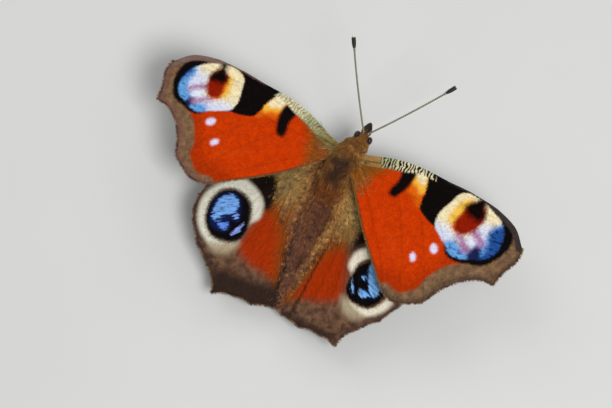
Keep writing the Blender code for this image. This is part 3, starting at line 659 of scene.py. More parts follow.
def feed(made, values):
    """Gives a node's inputs their values: numbers, colours or other nodes' outputs."""
    for socket, value in values.items():
        if isinstance(value, bpy.types.NodeSocket):
            made.id_data.links.new(value, made.inputs[socket])
        else:
            made.inputs[socket].default_value = value


def add(tree, kind, *values, out=None, **settings):
    """Adds one of the nodes of NODES with its settings and links; gives its output."""
    shader_type, fixed, inputs, output = NODES[kind]
    made = tree.nodes.new("ShaderNode" + shader_type)
    for name, value in {**fixed, **settings}.items():
        setattr(made, name, value)
    feed(made, dict(zip(inputs, values)))
    return made.outputs[output if out is None else out]


def new_material(name, roughness, specular):
    """A material, its Principled shader with plain numbers set, and add for its tree.
    The last two are None if there is a material of that name already."""
    old = bpy.data.materials.get(name)
    if old:
        return old, None, None
    material = bpy.data.materials.new(name)
    material.use_nodes = True
    shader = material.node_tree.nodes["Principled BSDF"]
    feed(shader, {"Roughness": roughness, "Specular IOR Level": specular})
    return material, shader, partial(add, material.node_tree)


def marking_paint(node, kind, name, paint, streaks, crisp):
    """A marking's colour: blue is broken into streaks of single scales, red and amber are
    darkened in streaks, and the eyespots' rings are warmer on the right wings."""
    if "blue" in name:
        if kind == "hindwing":
            paint = node("mix", node("MULTIPLY", crisp, 0.75), paint, linear("#86C0F6"))
        low = node("ramp", crisp, 0.0, 1.0, 0.5, 0.47)
        most = node("ramp", crisp, 0.0, 1.0, 0.6, {"forewing": 0.85, "hindwing": 0.65}[kind])
        return node("mix", node("ramp", streaks, low, 0.66, 0.0, most), paint,
                    linear("#0C1434"))
    if name in RIGHT_RINGS:
        return node("mix", crisp, paint, linear(RIGHT_RINGS[name]))
    if name in ("red_field", "amber"):
        return node("mix", node("ramp", streaks, 0.45, 0.7, 0.0, 0.4), paint,
                    linear("#5A2408"))
    return paint


def front_edge(node, colour, plan, costa, crisp, wobble, broad):
    """The forewing's front edge laid over its colour."""
    forward = node("axes", plan, out=1)
    # Beside the eyespot and round the tip it is a grey-brown strip
    wide = node("ramp", forward, 19.8, 22.0, 0.25, 0.95)
    lead = node("SUBTRACT", node("ADD", costa, wobble), wide)
    lead = node("MULTIPLY", node("ramp", lead, 0.2, -0.25),
                node("ramp", forward, 13.5, 16.0))
    strip = node("mix", crisp, linear("#7C635C"), linear("#3C3431"))
    colour = node("mix", lead, colour, strip)
    # Fine slanting bars cross it, from past the hairy base to the black patch
    slanted = node("ADD", forward, node("MULTIPLY", costa, 0.3))
    uneven = node("ADD",
                  node("MULTIPLY", wobble, node("ramp", crisp, 0.0, 1.0, 7.0, 3.5)),
                  node("MULTIPLY", broad, 16.0))
    wave = node("SINE", node("ADD", uneven,
                             node("MULTIPLY", slanted, 2 * math.pi / BAR_STEP)))
    wave = node("ramp", wave, -0.5, 0.4, node("ramp", crisp, 0.0, 1.0, 0.55, 0.0))
    pale = node("mix", node("ramp", forward, 8.0, 5.0), linear("#DED4AC"),
                linear("#B4B488"))
    bars = node("mix", wave, linear("#1C160C"), pale)
    # Nearer the root it is plain, with a dark line along it
    plain = node("mix", crisp, linear("#8E8448"), linear("#A8824C"))
    beyond = node("ABSOLUTE", node("SUBTRACT", costa, 1.1))
    plain = node("mix", node("ramp", beyond, 0.3, 0.0, 0.0, 0.7), plain, linear("#4A3418"))
    start = node("SUBTRACT", node("ADD", forward, wobble), node("MULTIPLY", crisp, 2.2))
    bars = node("mix", node("ramp", start, 2.2, 1.0), bars, plain)
    edge = node("SUBTRACT", costa, node("ramp", forward, 7.0, 11.0, 1.8, 1.0))
    edge = node("ADD", edge, node("MULTIPLY", wobble, 0.6))
    strip = node("MULTIPLY", node("ramp", edge, 0.2, -0.2),
                 node("ramp", node("SUBTRACT", forward, crisp), 12.1, 11.7))
    # Brown goes with it on its inner side
    beside = node("MULTIPLY",
                  node("ramp", edge, node("ramp", crisp, 0.0, 1.0, 0.9, 1.7), 0.1),
                  node("ramp", forward, 7.5, node("ramp", crisp, 0.0, 1.0, 4.0, 2.5)))
    colour = node("mix", node("MULTIPLY", beside, 0.7), colour, linear("#7A4E16"))
    return node("mix", strip, colour, bars)


def wing_material(kind, wing, colours):
    """Wing scales on a chitin membrane: matt overlapping plates of pigment, so the
    colour is broken into small cells and every marking has a ragged edge."""
    material, shader, node = new_material(f"{kind}_scales", 0.7, 0.03)
    if node is None:
        return material
    plan, fan = (node("attribute", out="Vector", attribute_name=name)
                 for name in ("plan", "fan"))
    vein, rim, costa, crisp = (node("attribute", attribute_name=name)
                               for name in ("vein", "rim", "costa", "crisp"))
    # A scale is 0.1 by 0.2 mm; drawn at 0.16 by 0.26 mm so that it shows
    cells = node("cells", node("scaled", fan, (3.8, 6.2, 1.0)), 1.0)
    cell = node("channels", cells.node.outputs["Color"])
    broad = node("noise", plan, 0.9, 3.0)
    fine = node("noise", plan, 4.5, 2.0)
    wobble = node("ADD", node("MULTIPLY", node("SUBTRACT", cell, 0.5), 0.16),
                  node("MULTIPLY", node("SUBTRACT", fine, 0.5), 0.5))
    shade = node("ramp", broad, 0.3, 0.7)
    if kind == "forewing":
        colour = node("mix", shade, linear("#C23400"), colours["red"])
        # Painted highlight: the red is lighter along a short line behind the white dots, where
        # sunlight fell
        sun = node("attribute", attribute_name="sun")
        painted_highlight = node("ramp", node("ADD", sun, wobble), 1.6, -1.2)
        colour = node("mix", node("MULTIPLY", painted_highlight, 0.5), colour, linear("#DA4A0C"))
        outer = node("ramp", node("ADD", rim, node("MULTIPLY", wobble, 2.0)), 5.5, 2.2)
        colour = node("mix", node("MULTIPLY", outer, 0.75), colour, linear("#A22C02"))
        brown = node("mix", shade, linear("#6A503C"), colours["brown"])
        edge_colours = linear("#75504A"), linear("#46362E")
        streak_depth = 0.5
    else:
        colour = node("mix", shade, linear("#523A2C"), linear("#785842"))
        brown = node("mix", shade, linear("#3E2B22"), linear("#785842"))
        edge_colours = linear("#3E2C28"), linear("#5A4038")
        streak_depth = 1.3

    # Blue scales break up into streaks that run out from the wing's root
    streaks = node("noise", node("scaled", fan, (0.7, 4.5, 1.0)), 1.0, 2.0)
    streaky = node("ADD", wobble,
                   node("MULTIPLY", node("SUBTRACT", streaks, 0.5), streak_depth))
    layers = list(wing["pattern"].items())
    inner = [item for item in layers if item[0].startswith("eye_")]
    early = [item for item in layers if item[0] in UNDER_BAND]
    late = [item for item in layers if item not in early and item not in inner]

    def laid(colour, chosen):
        """The chosen markings laid over a colour in their order."""
        for name, (paint, soft, _) in chosen:
            distance = node("attribute", attribute_name=name)
            edge = node("ADD", distance, streaky if "blue" in name else wobble)
            if name == "eye":
                # What is within the eyespot is laid on its own ground and cut by its edge
                paint = laid(linear(paint), inner)
            else:
                paint = marking_paint(node, kind, name, colours.get(name, linear(paint)),
                                      streaks, crisp)
            colour = node("mix", node("ramp", edge, soft, -soft), colour, paint)
        return colour

    colour = laid(colour, early)
    band = node("ADD", node("attribute", attribute_name="band"), wobble)
    colour = node("mix", node("ramp", band, 0.35, -0.35), colour, brown)
    dark_edge = node("ADD", rim, node("MULTIPLY", wobble, 1.5))
    colour = node("mix", node("ramp", dark_edge, 1.2, 0.1, 0.0, 0.75), colour,
                  node("mix", crisp, *edge_colours))
    colour = laid(colour, late)
    if kind == "forewing":
        colour = front_edge(node, colour, plan, costa, crisp, wobble, broad)
    colour = node("mix", node("ramp", vein, 0.22, 0.05, 0.0, 0.12), colour,
                  linear("#2A140C"))
    # Each scale is a little lighter or darker than the next
    tone = node("ramp", cell, 0.0, 1.0, 0.88, 1.12)
    colour = node("mix", 1.0, colour, node("combined", tone, tone, tone),
                  blend_type="MULTIPLY")
    # Underneath, the wing is near black with fine wavy lines across it
    lines = node("waves", fan, 0.9, 7.0, 3.0, 1.2)
    under = node("mix", lines, linear("#0D0A08"), linear("#2E2620"))
    under = node("mix", node("ramp", broad, 0.45, 0.75, 0.0, 0.6), under,
                 linear("#4A3B2E"))
    colour = node("mix", node("attribute", attribute_name="under"), colour, under)
    height = node("ADD", cells, node("MULTIPLY", fine, 0.6))
    feed(shader, {"Base Color": colour,
                  "Normal": node("bump", height, 0.35, 0.04 * MM, invert=True)})
    return material


def body_colour(node, colours):
    """Brown turned golden, olive, rust, mauve or dark by the attributes of those names."""
    colour = colours["hair_brown"]
    for name, other in (("gold", colours["hair_gold"]), ("olive", linear("#A8945A")),
                        ("rust", linear("#BE5A12")), ("mauve", colours["hair_mauve"]),
                        ("dark", colours["hair_dark"])):
        colour = node("mix", node("attribute", attribute_name=name), colour, other)
    return colour


def hair_material(colours):
    """Fine hair and hair-like scales: darker at the root, partly the hair's own colour and partly
    painted shade deep in the coat, and paler to the tip.
    """
    material, shader, node = new_material("butterfly_hair", 0.5, 0.35)
    if node is None:
        return material
    along, tone = (node("attribute", attribute_name=name) for name in ("along", "tone"))
    # Darker towards the root: the hair's own darker root and painted shade deep in the coat
    tone = node("MULTIPLY", node("ramp", along, 0.0, 1.0, 0.42, 1.12), tone)
    feed(shader, {"Base Color": node("mix", 1.0, body_colour(node, colours),
                                     node("combined", tone, tone, tone),
                                     blend_type="MULTIPLY")})
    return material


def skin_material(colours):
    """Chitin under the hair: dark, a little shiny, pitted where hairs stand in it."""
    material, shader, node = new_material("body_skin", 0.55, 0.4)
    if node is None:
        return material
    # A pit is about 0.11 mm across
    pits = node("cells", node("place"), 9000.0)
    feed(shader, {"Base Color": node("mix", 0.6, body_colour(node, colours),
                                     linear("#1C120C")),
                  "Normal": node("bump", pits, 0.5, 0.03 * MM)})
    return material


def chitin_material(name, dark, pale, rings, share_from=0.5):
    """Bare or thinly scaled chitin of a thin limb, a little shiny and banded along it:
    rings is how many bands its length has, and share_from where in each band the pale
    part starts."""
    material, shader, node = new_material(name, 0.42, 0.45)
    if node is None:
        return material
    # The grain is about 0.2 mm across
    grain = node("noise", node("place"), 5000.0, 3.0)
    along = node("attribute", attribute_name="along")
    within = node("FRACT", node("MULTIPLY", along, float(rings)))
    pale_part = node("MULTIPLY", node("ramp", within, share_from - 0.08, share_from + 0.08),
                     node("ramp", within, 1.0, 0.92))
    colour = node("mix", pale_part, linear(dark), linear(pale))
    colour = node("mix", node("ramp", grain, 0.3, 0.7, 0.0, 0.45), colour,
                  linear("#120C08"))
    feed(shader, {"Base Color": colour, "Normal": node("bump", grain, 0.4, 0.02 * MM)})
    return material


def club_material():
    """A feeler's club: near-black matt scales with a bare pale tip."""
    material, shader, node = new_material("club_scales", 0.5, 0.4)
    if node is None:
        return material
    along = node("attribute", attribute_name="along")
    colour = node("mix", node("ramp", along, 0.76, 0.88), linear("#1C1412"),
                  linear("#EDE4CC"))
    colour = node("mix", node("ramp", along, 0.12, 0.0), colour, linear("#B8A88C"))
    # The grain is about 0.14 mm across
    grain = node("noise", node("place"), 7000.0)
    feed(shader, {"Base Color": colour, "Normal": node("bump", grain, 0.5, 0.02 * MM)})
    return material


def eye_material():
    """A compound eye: clear glossy facets over dark brown pigment with faint bands."""
    material, shader, node = new_material("compound_eye", 0.3, 0.4)
    if node is None:
        return material
    place = node("place")
    # A facet is 0.025 mm across; drawn at 0.06 mm so that it shows
    facets = node("cells", place, 16000.0)
    clouds = node("noise", place, 1400.0)
    colour = node("mix", node("ramp", clouds, 0.35, 0.65), linear("#120A08"),
                  linear("#33201A"))
    feed(shader, {"Coat Weight": 0.2, "Base Color": colour,
                  "Normal": node("bump", facets, 0.4, 0.02 * MM)})
    return material


# Body

def skin_at(turn, y):
    """Points of the body's skin: at y along it, a superellipse about its middle, pinched
    between the rings of the abdomen by a cosine to the tenth power."""
    middle_x, middle_z, half_width, half_height = through(SKIN[:, 0], SKIN[:, 1:], y).T
    along = (y - ABDOMEN_START) / (ABDOMEN_END - ABDOMEN_START) * ABDOMEN_RINGS
    joint = np.abs(np.cos(np.pi * along)) ** 10 * (y > ABDOMEN_START + 0.3)
    pinch = 1 - RING_PINCH * joint
    cos, sin = np.cos(turn), np.sin(turn)
    size = (np.abs(cos) ** SQUARENESS + np.abs(sin) ** SQUARENESS) ** (-1 / SQUARENESS)
    return np.stack([middle_x + half_width * pinch * size * cos, y,
                     middle_z + half_height * pinch * size * sin], -1)


def skin_frame(turn, y):
    """Points of the skin with the outward normal and the way towards the tail there."""
    step = 0.02
    back = unit(skin_at(turn, y + step) - skin_at(turn, y - step))
    around = unit(skin_at(turn + step, y) - skin_at(turn - step, y))
    return skin_at(turn, y), unit(np.cross(back, around)), back


def eye_middle(sign):
    """The middle of an eye in body axes."""
    return HEAD_MIDDLE + (sign * EYE_ASIDE, -EYE_FORWARD, 0)


def markings(points):
    """How golden, dark, mauve and rusty the hair is at places on the body, in body axes:
    golden head and flanks, a dark stripe along the fore back and a mauve-brown abdomen.
    Sums of sines clump it, and bells and steps bound each part."""
    x, y, z = np.moveaxis(points, -1, 0)
    middle = np.interp(y, SKIN[:, 0], SKIN[:, 1])
    clumps = 0.5 + 0.25 * np.sin(3.1 * x + 1.7 * y) + 0.25 * np.sin(2.3 * y - 3.7 * z + 1.0)
    on_back = 1 / (1 + np.exp(-(z - 0.4) * 3))
    stripe = np.exp(-((x - middle - 0.1) / 1.3) ** 2) * on_back
    fore = np.interp(y, [-3.2, -2.0, 0.8, 2.4, 4.4], [0, 1, 1, 0.3, 0.2])
    dark = stripe * fore * (0.5 + 0.5 * clumps)
    for sign in SIDES.values():
        behind_eye = HEAD_MIDDLE + (sign * EYE_ASIDE, 0.9, 0.0)
        apart = ((points - behind_eye) / (0.4, 0.9, 0.7)) ** 2
        dark = np.maximum(dark, 0.9 * np.exp(-apart.sum(-1)))
    below = 1 / (1 + np.exp((z + 0.7) * 3.5))
    dark = np.maximum(dark, below * (0.55 + 0.35 * clumps))
    rear = np.interp(y, [1.5, 3.2, 4.8, 6.0], [0, 1, 1, 0])
    gold = (0.2 + 0.5 * clumps) * (1 - 0.75 * stripe) * (1 - 0.8 * rear * on_back)
    gold = np.where(y > 5.0, 0.15 + 0.45 * clumps, gold)
    gold = gold + 0.3 * np.interp(y, [-3.5, 0.0], [1, 0])
    # Mauve clumps on the dark stripe are painted highlights of its hair's lilac sheen
    mauve = np.interp(y, [4.6, 6.5], [0, 0.7]) + 0.45 * stripe * (clumps > 0.62) * (y > -2)
    rust = on_back * np.interp(y, [2.0, 3.2, 4.8, 7.5, 14.0], [0.1, 0.55, 0.5, 0.3, 0.05])
    return {"gold": np.clip(gold, 0, 1), "dark": np.clip(dark, 0, 1),
            "mauve": np.clip(mauve, 0, 1), "rust": rust}


def make_body(scene):
    """The body's skin: rings of skin_at from head to tail, closer on the head, shut at
    both ends."""
    y = np.concatenate([np.linspace(SKIN[0, 0], HEAD_END, HEAD_RINGS, endpoint=False),
                        np.linspace(HEAD_END, SKIN[-1, 0], SKIN_RINGS - HEAD_RINGS)])
    sides = np.arange(SKIN_SIDES)
    grid_y, grid_turn = np.meshgrid(y, sides * 2 * np.pi / SKIN_SIDES, indexing="ij")
    points = skin_at(grid_turn.ravel(), grid_y.ravel())
    after = (sides + 1) % SKIN_SIDES
    last = (SKIN_RINGS - 1) * SKIN_SIDES
    ends = np.vstack([points[:SKIN_SIDES].mean(0), points[last:].mean(0)])
    caps = np.vstack([np.stack([sides, after, np.full(SKIN_SIDES, len(points))], 1),
                      np.stack([after + last, sides + last,
                                np.full(SKIN_SIDES, len(points) + 1)], 1)])
    points = np.vstack([points, ends])
    add_piece("body_skin", in_frame(points),
              [grid_quads(SKIN_RINGS, SKIN_SIDES, True)[:, ::-1], caps],
              skin_material(hair_colours(scene)),
              ("thorax", "head", "abdomen"), markings(points))


def coat_piece(name, made, root_values, root_bake, scene):
    """A coat piece from blades: its roots' markings and unwrap carried to every point."""
    points, faces, along, spread = made
    values = {key: np.repeat(value, LOCK_POINTS) for key, value in root_values.items()}
    values["along"] = along
    bake = (np.repeat(root_bake, LOCK_POINTS, 0)
            + LOCK_IN_UNWRAP * np.tile(spread, (len(root_bake), 1)))
    add_piece(name, in_frame(points), faces, hair_material(hair_colours(scene)),
              values=values, bake=bake)


def clumped(roots, ways, lengths, size, rng):
    """Draws hair together in clumps about a size apart: each hair leans towards its
    clump's middle. Also gives each hair its clump's own random number."""
    middles = KDTree(len(roots))
    chosen = []
    taken = set()
    for i in rng.permutation(len(roots)):
        cell = tuple(np.floor(roots[i] / size).astype(int))
        if cell not in taken:
            taken.add(cell)
            middles.insert(roots[i], len(chosen))
            chosen.append(i)
    middles.balance()
    number = np.array([middles.find(root)[1] for root in roots])
    lean = roots[np.array(chosen)[number]] - roots
    ways = unit(ways * lengths[:, None] + CLUMP_PULL * lean)
    return ways, rng.normal(0, 1, len(chosen))[number]


def body_coat(name, rng, scene, *, count, span, length, rise, forward, width, slot, stray):
    """Hair locks all round a stretch of the body, more where its girth is greater and
    none within the eyes: their lengths in mm, how far they rise, whether they point
    forward, and how far they stray aside."""
    count = int(count * scene.butterfly_coat.density)
    density = through(SKIN[:, 0], SKIN[:, 3], np.linspace(*span, 200)).ravel()
    share = np.cumsum(density) / density.sum()
    y = np.interp(rng.random(count), share, np.linspace(*span, 200))
    turn = rng.random(count) * 2 * np.pi
    root, normal, back = skin_frame(turn, y)
    ahead = np.where(forward, -1.0, 1.0)
    aside = np.cross(normal, back)
    way = unit(back * ahead + aside * rng.normal(0, stray, count)[:, None])
    for sign in SIDES.values():
        keep = np.linalg.norm((root - eye_middle(sign)) / (EYE_HALF + 0.1), axis=1) > 1
        root, normal, way, y, turn = (a[keep] for a in (root, normal, way, y, turn))
    count = len(root)
    long = length * scene.butterfly_coat.length * (0.7 + 0.6 * rng.random(count))
    for sign in SIDES.values():
        # Hair beside an eye is short, down to an eighth
        from_eye = root + way * 0.3 - eye_middle(sign)
        away = np.linalg.norm(from_eye / (EYE_HALF + 0.1), axis=1)
        long = long * np.clip((away - 0.95) / 0.9, 0.12, 1)
    way, clump = clumped(root, way, long, BODY_CLUMP, rng)
    # Some single hairs stand out from the rest
    loose = (rng.random(count) < 0.12) & (long > 0.6 * length) & (rise < 1)
    made = blades(root - normal * ROOT_DEPTH, way, normal, long * np.where(loose, 1.2, 1.0),
                  width * np.where(loose, 0.6, 1.0) * (0.7 + 0.6 * rng.random(count)),
                  rise * np.where(loose, 1.5, 1.0) * (0.5 + rng.random(count)),
                  rng.normal(0, 0.12, count))
    values = markings(root)
    values["gold"] = np.clip(values["gold"] + 0.22 * clump, 0, 1.3)
    values["tone"] = (0.8 + 0.4 * rng.random(count)) * np.exp(0.26 * clump)
    bake = np.stack([turn / (2 * np.pi), (y - SKIN[0, 0]) / (SKIN[-1, 0] - SKIN[0, 0])], 1)
    coat_piece(name, made, values, bake, scene)


def make_head_parts():
    """Eyes as ellipsoids, palps, the tongue as a spiral tube, and feelers."""
    rows, columns, coil_points = 49, 64, 160
    down, turn = np.meshgrid(np.linspace(0, np.pi, rows),
                             np.arange(columns) * 2 * np.pi / columns, indexing="ij")
    ball = np.stack([np.sin(down) * np.cos(turn), np.sin(down) * np.sin(turn),
                     np.cos(down)], -1)
    for side, sign in SIDES.items():
        add_piece("compound_eye_" + side,
                  in_frame(ball.reshape(-1, 3) * EYE_HALF + eye_middle(sign)),
                  [grid_quads(rows, columns, True)], eye_material(),
                  ("eye_" + side,), flip=True)
        points, faces, along = tube(*palp_line(sign), sides=20, flatten=1.15)
        add_piece("palp_skin_" + side, in_frame(points), faces,
                  chitin_material("palp_chitin", "#2E2222", "#4A3A38", 3),
                  ("palp_" + side,), {"along": along})
    share = np.linspace(0, 1, coil_points)
    radius = COIL_OUTER + (COIL_INNER - COIL_OUTER) * share
    angle = np.pi * 0.5 + 2 * np.pi * COIL_TURNS * share
    line = HEAD_MIDDLE + np.stack([np.zeros(coil_points),
                                   COIL_MIDDLE[0] + radius * np.cos(angle),
                                   COIL_MIDDLE[1] + radius * np.sin(angle)], 1)
    thickness = 0.165 + 0.012 * np.sin(share * 2 * np.pi * COIL_RINGS)
    points, faces, along = tube(line, thickness, sides=16, upward=(1, 0, 0))
    add_piece("tongue_coil", in_frame(points), faces,
              chitin_material("tongue_chitin", "#1E120A", "#4A2E18", COIL_RINGS),
              ("proboscis",), {"along": along})
    for side, sign in SIDES.items():
        make_feeler(side, sign)


def make_feeler(side, sign):
    """A feeler along a parabola from root to tip: a shaft that swells a little at each of
    its many short joints, and a club."""
    root = HEAD_MIDDLE + FEELER_ROOT * (sign, 1, 1)
    tip = np.array(FEELER_TIPS[side])
    middle = (root + tip) / 2 + np.array((sign * FEELER_BOW, 0, FEELER_BOW))
    start = 0.06 * (root - middle) + root
    share = np.linspace(0, 1, FEELER_POINTS)
    t = share[:, None]
    line = start * (1 - t) ** 2 + middle * 2 * t * (1 - t) + tip * t ** 2
    split = int(FEELER_POINTS * (1 - CLUB_SHARE))
    joints = np.abs(np.sin(np.pi * share * FEELER_SEGMENTS / (1 - CLUB_SHARE)))
    radii = 0.135 + 0.02 * joints + 0.05 * np.exp(-(share / 0.02) ** 2)
    radii += 0.07 * np.clip((share - 0.8) / 0.05, 0, 1) ** 2
    points, faces, along = tube(line[:split], radii[:split], sides=14)
    add_piece("feeler_shaft_" + side, in_frame(points), faces,
              chitin_material("feeler_scales", "#4A4434", "#ACA88A", FEELER_SEGMENTS, 0.4),
              (f"antenna_{side}_shaft",), {"along": along})
    club = line[split - 6:]
    fraction = np.linspace(0, 1, len(club))
    radii = through(CLUB_PLACES, CLUB_RADII, fraction)
    radii = radii * (1 + 0.03 * np.sin(fraction * 2 * np.pi * CLUB_SEGMENTS))
    points, faces, along = tube(club, radii, sides=24, flatten=0.85)
    add_piece("feeler_club_" + side, in_frame(points), faces, club_material(),
              (f"antenna_{side}_club",), {"along": along})


def foreleg_line(sign):
    """The middle line of a foreleg and its radii: cubics through those of its points."""
    path = np.array([(middle + sign * x, y, z)
                     for middle, (x, y, z) in zip(FORELEG_MIDDLE, FORELEG_PATH)])
    knots, at = np.arange(len(path)), np.linspace(0, len(path) - 1, 60)
    return through(knots, path, at), through(knots, FORELEG_RADII, at)


def palp_line(sign):
    """The middle line of a palp and its radii: cubics through those of its points. Both
    palps lean together at the tips."""
    path = HEAD_MIDDLE + [(sign * x, y, z) for x, y, z in PALP_PATH]
    knots, at = np.arange(len(path)), np.linspace(0, len(path) - 1, 40)
    return through(knots, path, at), through(knots, PALP_RADII, at)


def make_legs():
    """Four walking legs with swollen joints and claws, and the two folded forelegs: tubes
    along cubics through each leg's corners."""
    material = chitin_material("leg_scales", "#3C2A1C", "#7A5C3C", 9, 0.55)
    for kind, places in LEGS.items():
        for side, sign in SIDES.items():
            root, knee, ankle, toe = (np.array(p) * (sign, 1, 1) for p in places)
            root = pitched(root)
            inner = root + (root - knee) * 0.12
            touch = ankle + (toe - ankle) * FOOT_DOWN
            touch[2] = toe[2]
            corners = np.array([inner, root, knee + (root - knee) * 0.06,
                                knee + (ankle - knee) * 0.06, ankle + (knee - ankle) * 0.08,
                                touch + (ankle - touch) * 0.3, touch + (toe - touch) * 0.12,
                                toe])
            length = run(corners)
            share = length / length[-1]
            at = np.linspace(0, 1, LEG_POINTS)
            femur, tibia = share[2], share[4]
            radii = through([0, share[1], femur * 0.55, femur, share[3], tibia * 0.8, tibia,
                             share[5], 1.0], LEG_RADII, at)
            joint = np.clip((at - share[5]) / (1 - share[5]), 0, 1)
            radii = radii * (1 - 0.16 * np.abs(np.cos(np.pi * joint * TARSUS_JOINTS)) ** 6
                             * (joint > 0))
            parts = [tube(through(share, corners, at), radii, sides=16)]
            way = unit(toe - touch)
            aside = np.cross(way, (0, 0, 1))
            f = np.linspace(0, 1, 14)[:, None]
            for bend in (1, -1):
                claw = (toe + way * CLAW_LENGTH * f + aside * bend * (0.16 * f + 0.05)
                        - np.array((0, 0, 0.07)) * f ** 2)
                parts.append(tube(claw, 0.05 * (1 - 0.85 * f.ravel()), sides=8))
            points, faces, along = joined(parts)
            nodes = [f"{kind}_{side}_{part}" for part in ("femur", "tibia", "tarsus")]
            add_piece(f"{kind}_{side}", over_floor(points), faces, material, nodes,
                      {"along": along})
    for side, sign in SIDES.items():
        points, faces, along = tube(*foreleg_line(sign), sides=16)
        add_piece("foreleg_skin_" + side, in_frame(points), faces, material,
                  ("foreleg_" + side,), {"along": along})


# Wings

def skewed(wing, side, plan):
    """Plan points with the wing's rear part moved forward: by its skew times how far out
    a point is, times a ramp that falls from one to none towards the front."""
    u, v = plan.T
    rear = np.clip((SKEW_NONE - v) / (SKEW_NONE - SKEW_FULL), 0, 1)
    return np.stack([u, v + wing["skew"][side] * np.maximum(0, u - SKEW_FROM) * rear], 1)


def wing_place(wing, side, sign, plan, lift):
    """A wing's plan points in body axes: the sheet is arched as a parabola between its
    root and edge, scaled, raised by its dihedral, swept and set on its root. lift is
    added square to the sheet."""
    u, v = plan.T
    middle = wing["arch_middle"]
    w = wing["arch"] * (1 - ((u - middle) / middle) ** 2) + lift
    u, v = skewed(wing, side, plan).T * wing["reach"][side]
    rise = math.radians(wing["dihedral"])
    sweep = math.radians(wing["sweep"][side])
    out = u * math.cos(rise) - w * math.sin(rise)
    up = u * math.sin(rise) + w * math.cos(rise)
    root = wing["root"][side]
    return np.stack([sign * (root[0] + out * math.cos(sweep) + v * math.sin(sweep)),
                     root[1] + out * math.sin(sweep) - v * math.cos(sweep),
                     root[2] + up], -1)


def inner_knots(wing, side):
    """The inner margin's points in plan, tucked in behind the root."""
    tuck = wing["tuck"][side]
    return [(u - tuck, v) if v < TUCK_BEHIND else (u, v) for u, v in wing["inner"]]


def margin_line(wing, side):
    """The outer margin in plan, hollowed between vein ends as a half sine."""
    pieces = []
    ends = wing["margin"][:-1] + inner_knots(wing, side)[:1]
    t = (np.arange(SCALLOP_POINTS) / SCALLOP_POINTS)[:, None]
    for start, end, depth in zip(ends, ends[1:], wing["scallop"]):
        start, end = np.array(start), np.array(end)
        along = end - start
        inward = unit(np.array((along[1], -along[0])))
        pieces.append(start + along * t + inward * depth * np.sin(np.pi * t))
    return np.vstack(pieces + [np.array(ends[-1:])])


def inner_line(wing, side):
    """The inner margin in plan, moved in by the fold times a ramp up from its front end
    and a power of a ramp up from its rear end."""
    line = spline(inner_knots(wing, side))
    if "fold" in wing:
        v = line[:, 1]
        bulge = np.clip(-v / 1.6, 0, 1) * np.clip((v + 23.3) / 7, 0, 1) ** 0.7
        line = line - np.stack([wing["fold"][side] * bulge, np.zeros(len(line))], 1)
    return line


def wing_plan(wing, side):
    """A grid over the wing in plan: a Coons patch, the blends between its inner margin and
    leading edge and between its root and outer margin added, less that of its corners.
    Rows go from root to margin, columns from inner to front."""
    lead = evenly(spline(wing["leading"]), WING_ROWS)[:, None]
    inner = evenly(inner_line(wing, side)[::-1], WING_ROWS)[:, None]
    margin = evenly(margin_line(wing, side)[::-1], WING_COLUMNS)[None]
    root = evenly(np.array([wing["inner"][-1], wing["leading"][0]], float), WING_COLUMNS)[None]
    s = np.linspace(0, 1, WING_COLUMNS)[None, :, None]
    t = np.linspace(0, 1, WING_ROWS)[:, None, None]
    sides = (1 - s) * inner + s * lead + (1 - t) * root + t * margin
    corners = ((1 - s) * (1 - t) * inner[0, 0] + s * (1 - t) * lead[0, 0]
               + (1 - s) * t * inner[-1, 0] + s * t * lead[-1, 0])
    return (sides - corners).reshape(-1, 2)


def marking_plan(kind, side, plan):
    """Plan points as the markings are drawn for them: those of the right wings lie a
    little nearer the inner margin and root than the left ones'."""
    plan = skewed(WINGS[kind], side, plan)
    if kind == "forewing" and side == "right":
        u, v = plan.T
        near = np.clip((25 - v) / 13, 0, 1)
        return np.stack([u * 1.04, v + u * 0.14 * near], 1)
    return plan + MARKING_SHIFT.get(f"{kind}_{side}", (0.0, 0.0))


def make_wing(kind, wing, side, sign, scene):
    """A wing of top and under sheets closed at the rim. Its middle sheet sinks between
    the veins by a bell of their distance and ripples by a product of sines, and the
    veins stand on it as bells. The markings are painted from its points' distances."""
    sizes = scene.butterfly_wings
    plan = wing_plan(wing, side)
    count = len(plan)
    vein = np.full(count, np.inf)
    for line in wing["veins"]:
        vein = np.minimum(vein, to_line(plan, spline(line)))
    rim = to_line(plan, margin_line(wing, side))
    edge = to_line(plan, closed_outline(wing, side))
    reach = np.hypot(*plan.T)
    ridge = (sizes.vein_height / MM * (1 - 0.4 * reach / reach.max())
             * np.exp(-(vein / 0.15) ** 2))
    if kind == "hindwing":
        ridge = ridge * np.clip((reach - 2) / 7, 0.2, 1)
    sink = -0.16 * (1 - np.exp(-(vein / 0.8) ** 2)) * np.clip(edge / 1.2, 0.25, 1)
    ripple = (0.10 * np.sin(plan[:, 0] * 0.9 + 1.3) * np.sin(plan[:, 1] * 0.55)
              * np.clip((reach - 8) / 14, 0, 1))
    half = sizes.membrane / MM / 2 * np.clip(edge / 0.3, 0.35, 1)
    middle = sink + ripple - fold_drop(wing, side, plan)
    top = wing_place(wing, side, sign, plan, middle + half + ridge)
    below = wing_place(wing, side, sign, plan, middle - half - 0.7 * ridge)
    quads = grid_quads(WING_ROWS, WING_COLUMNS)
    index = np.arange(count).reshape(WING_ROWS, WING_COLUMNS)
    loop = np.concatenate([index[0, :-1], index[:-1, -1], index[-1, :0:-1],
                           index[:0:-1, 0]])
    after = np.roll(loop, -1)
    wall = np.stack([after, loop, loop + count, after + count], 1)
    name = f"{kind}_{side}"
    values = marking_values(kind, wing, side, plan, rim)
    values["vein"] = vein
    values = {key: np.concatenate([value, value]) for key, value in values.items()}
    values["under"] = np.repeat([0.0, 1.0], count)
    add_piece(name + "_scaled", in_frame(np.vstack([top, below])),
              [quads, quads[:, ::-1] + count, wall],
              wing_material(kind, wing, wing_colours(scene)), (name,), values,
              flip=sign * (top_area(plan, quads)) < 0)


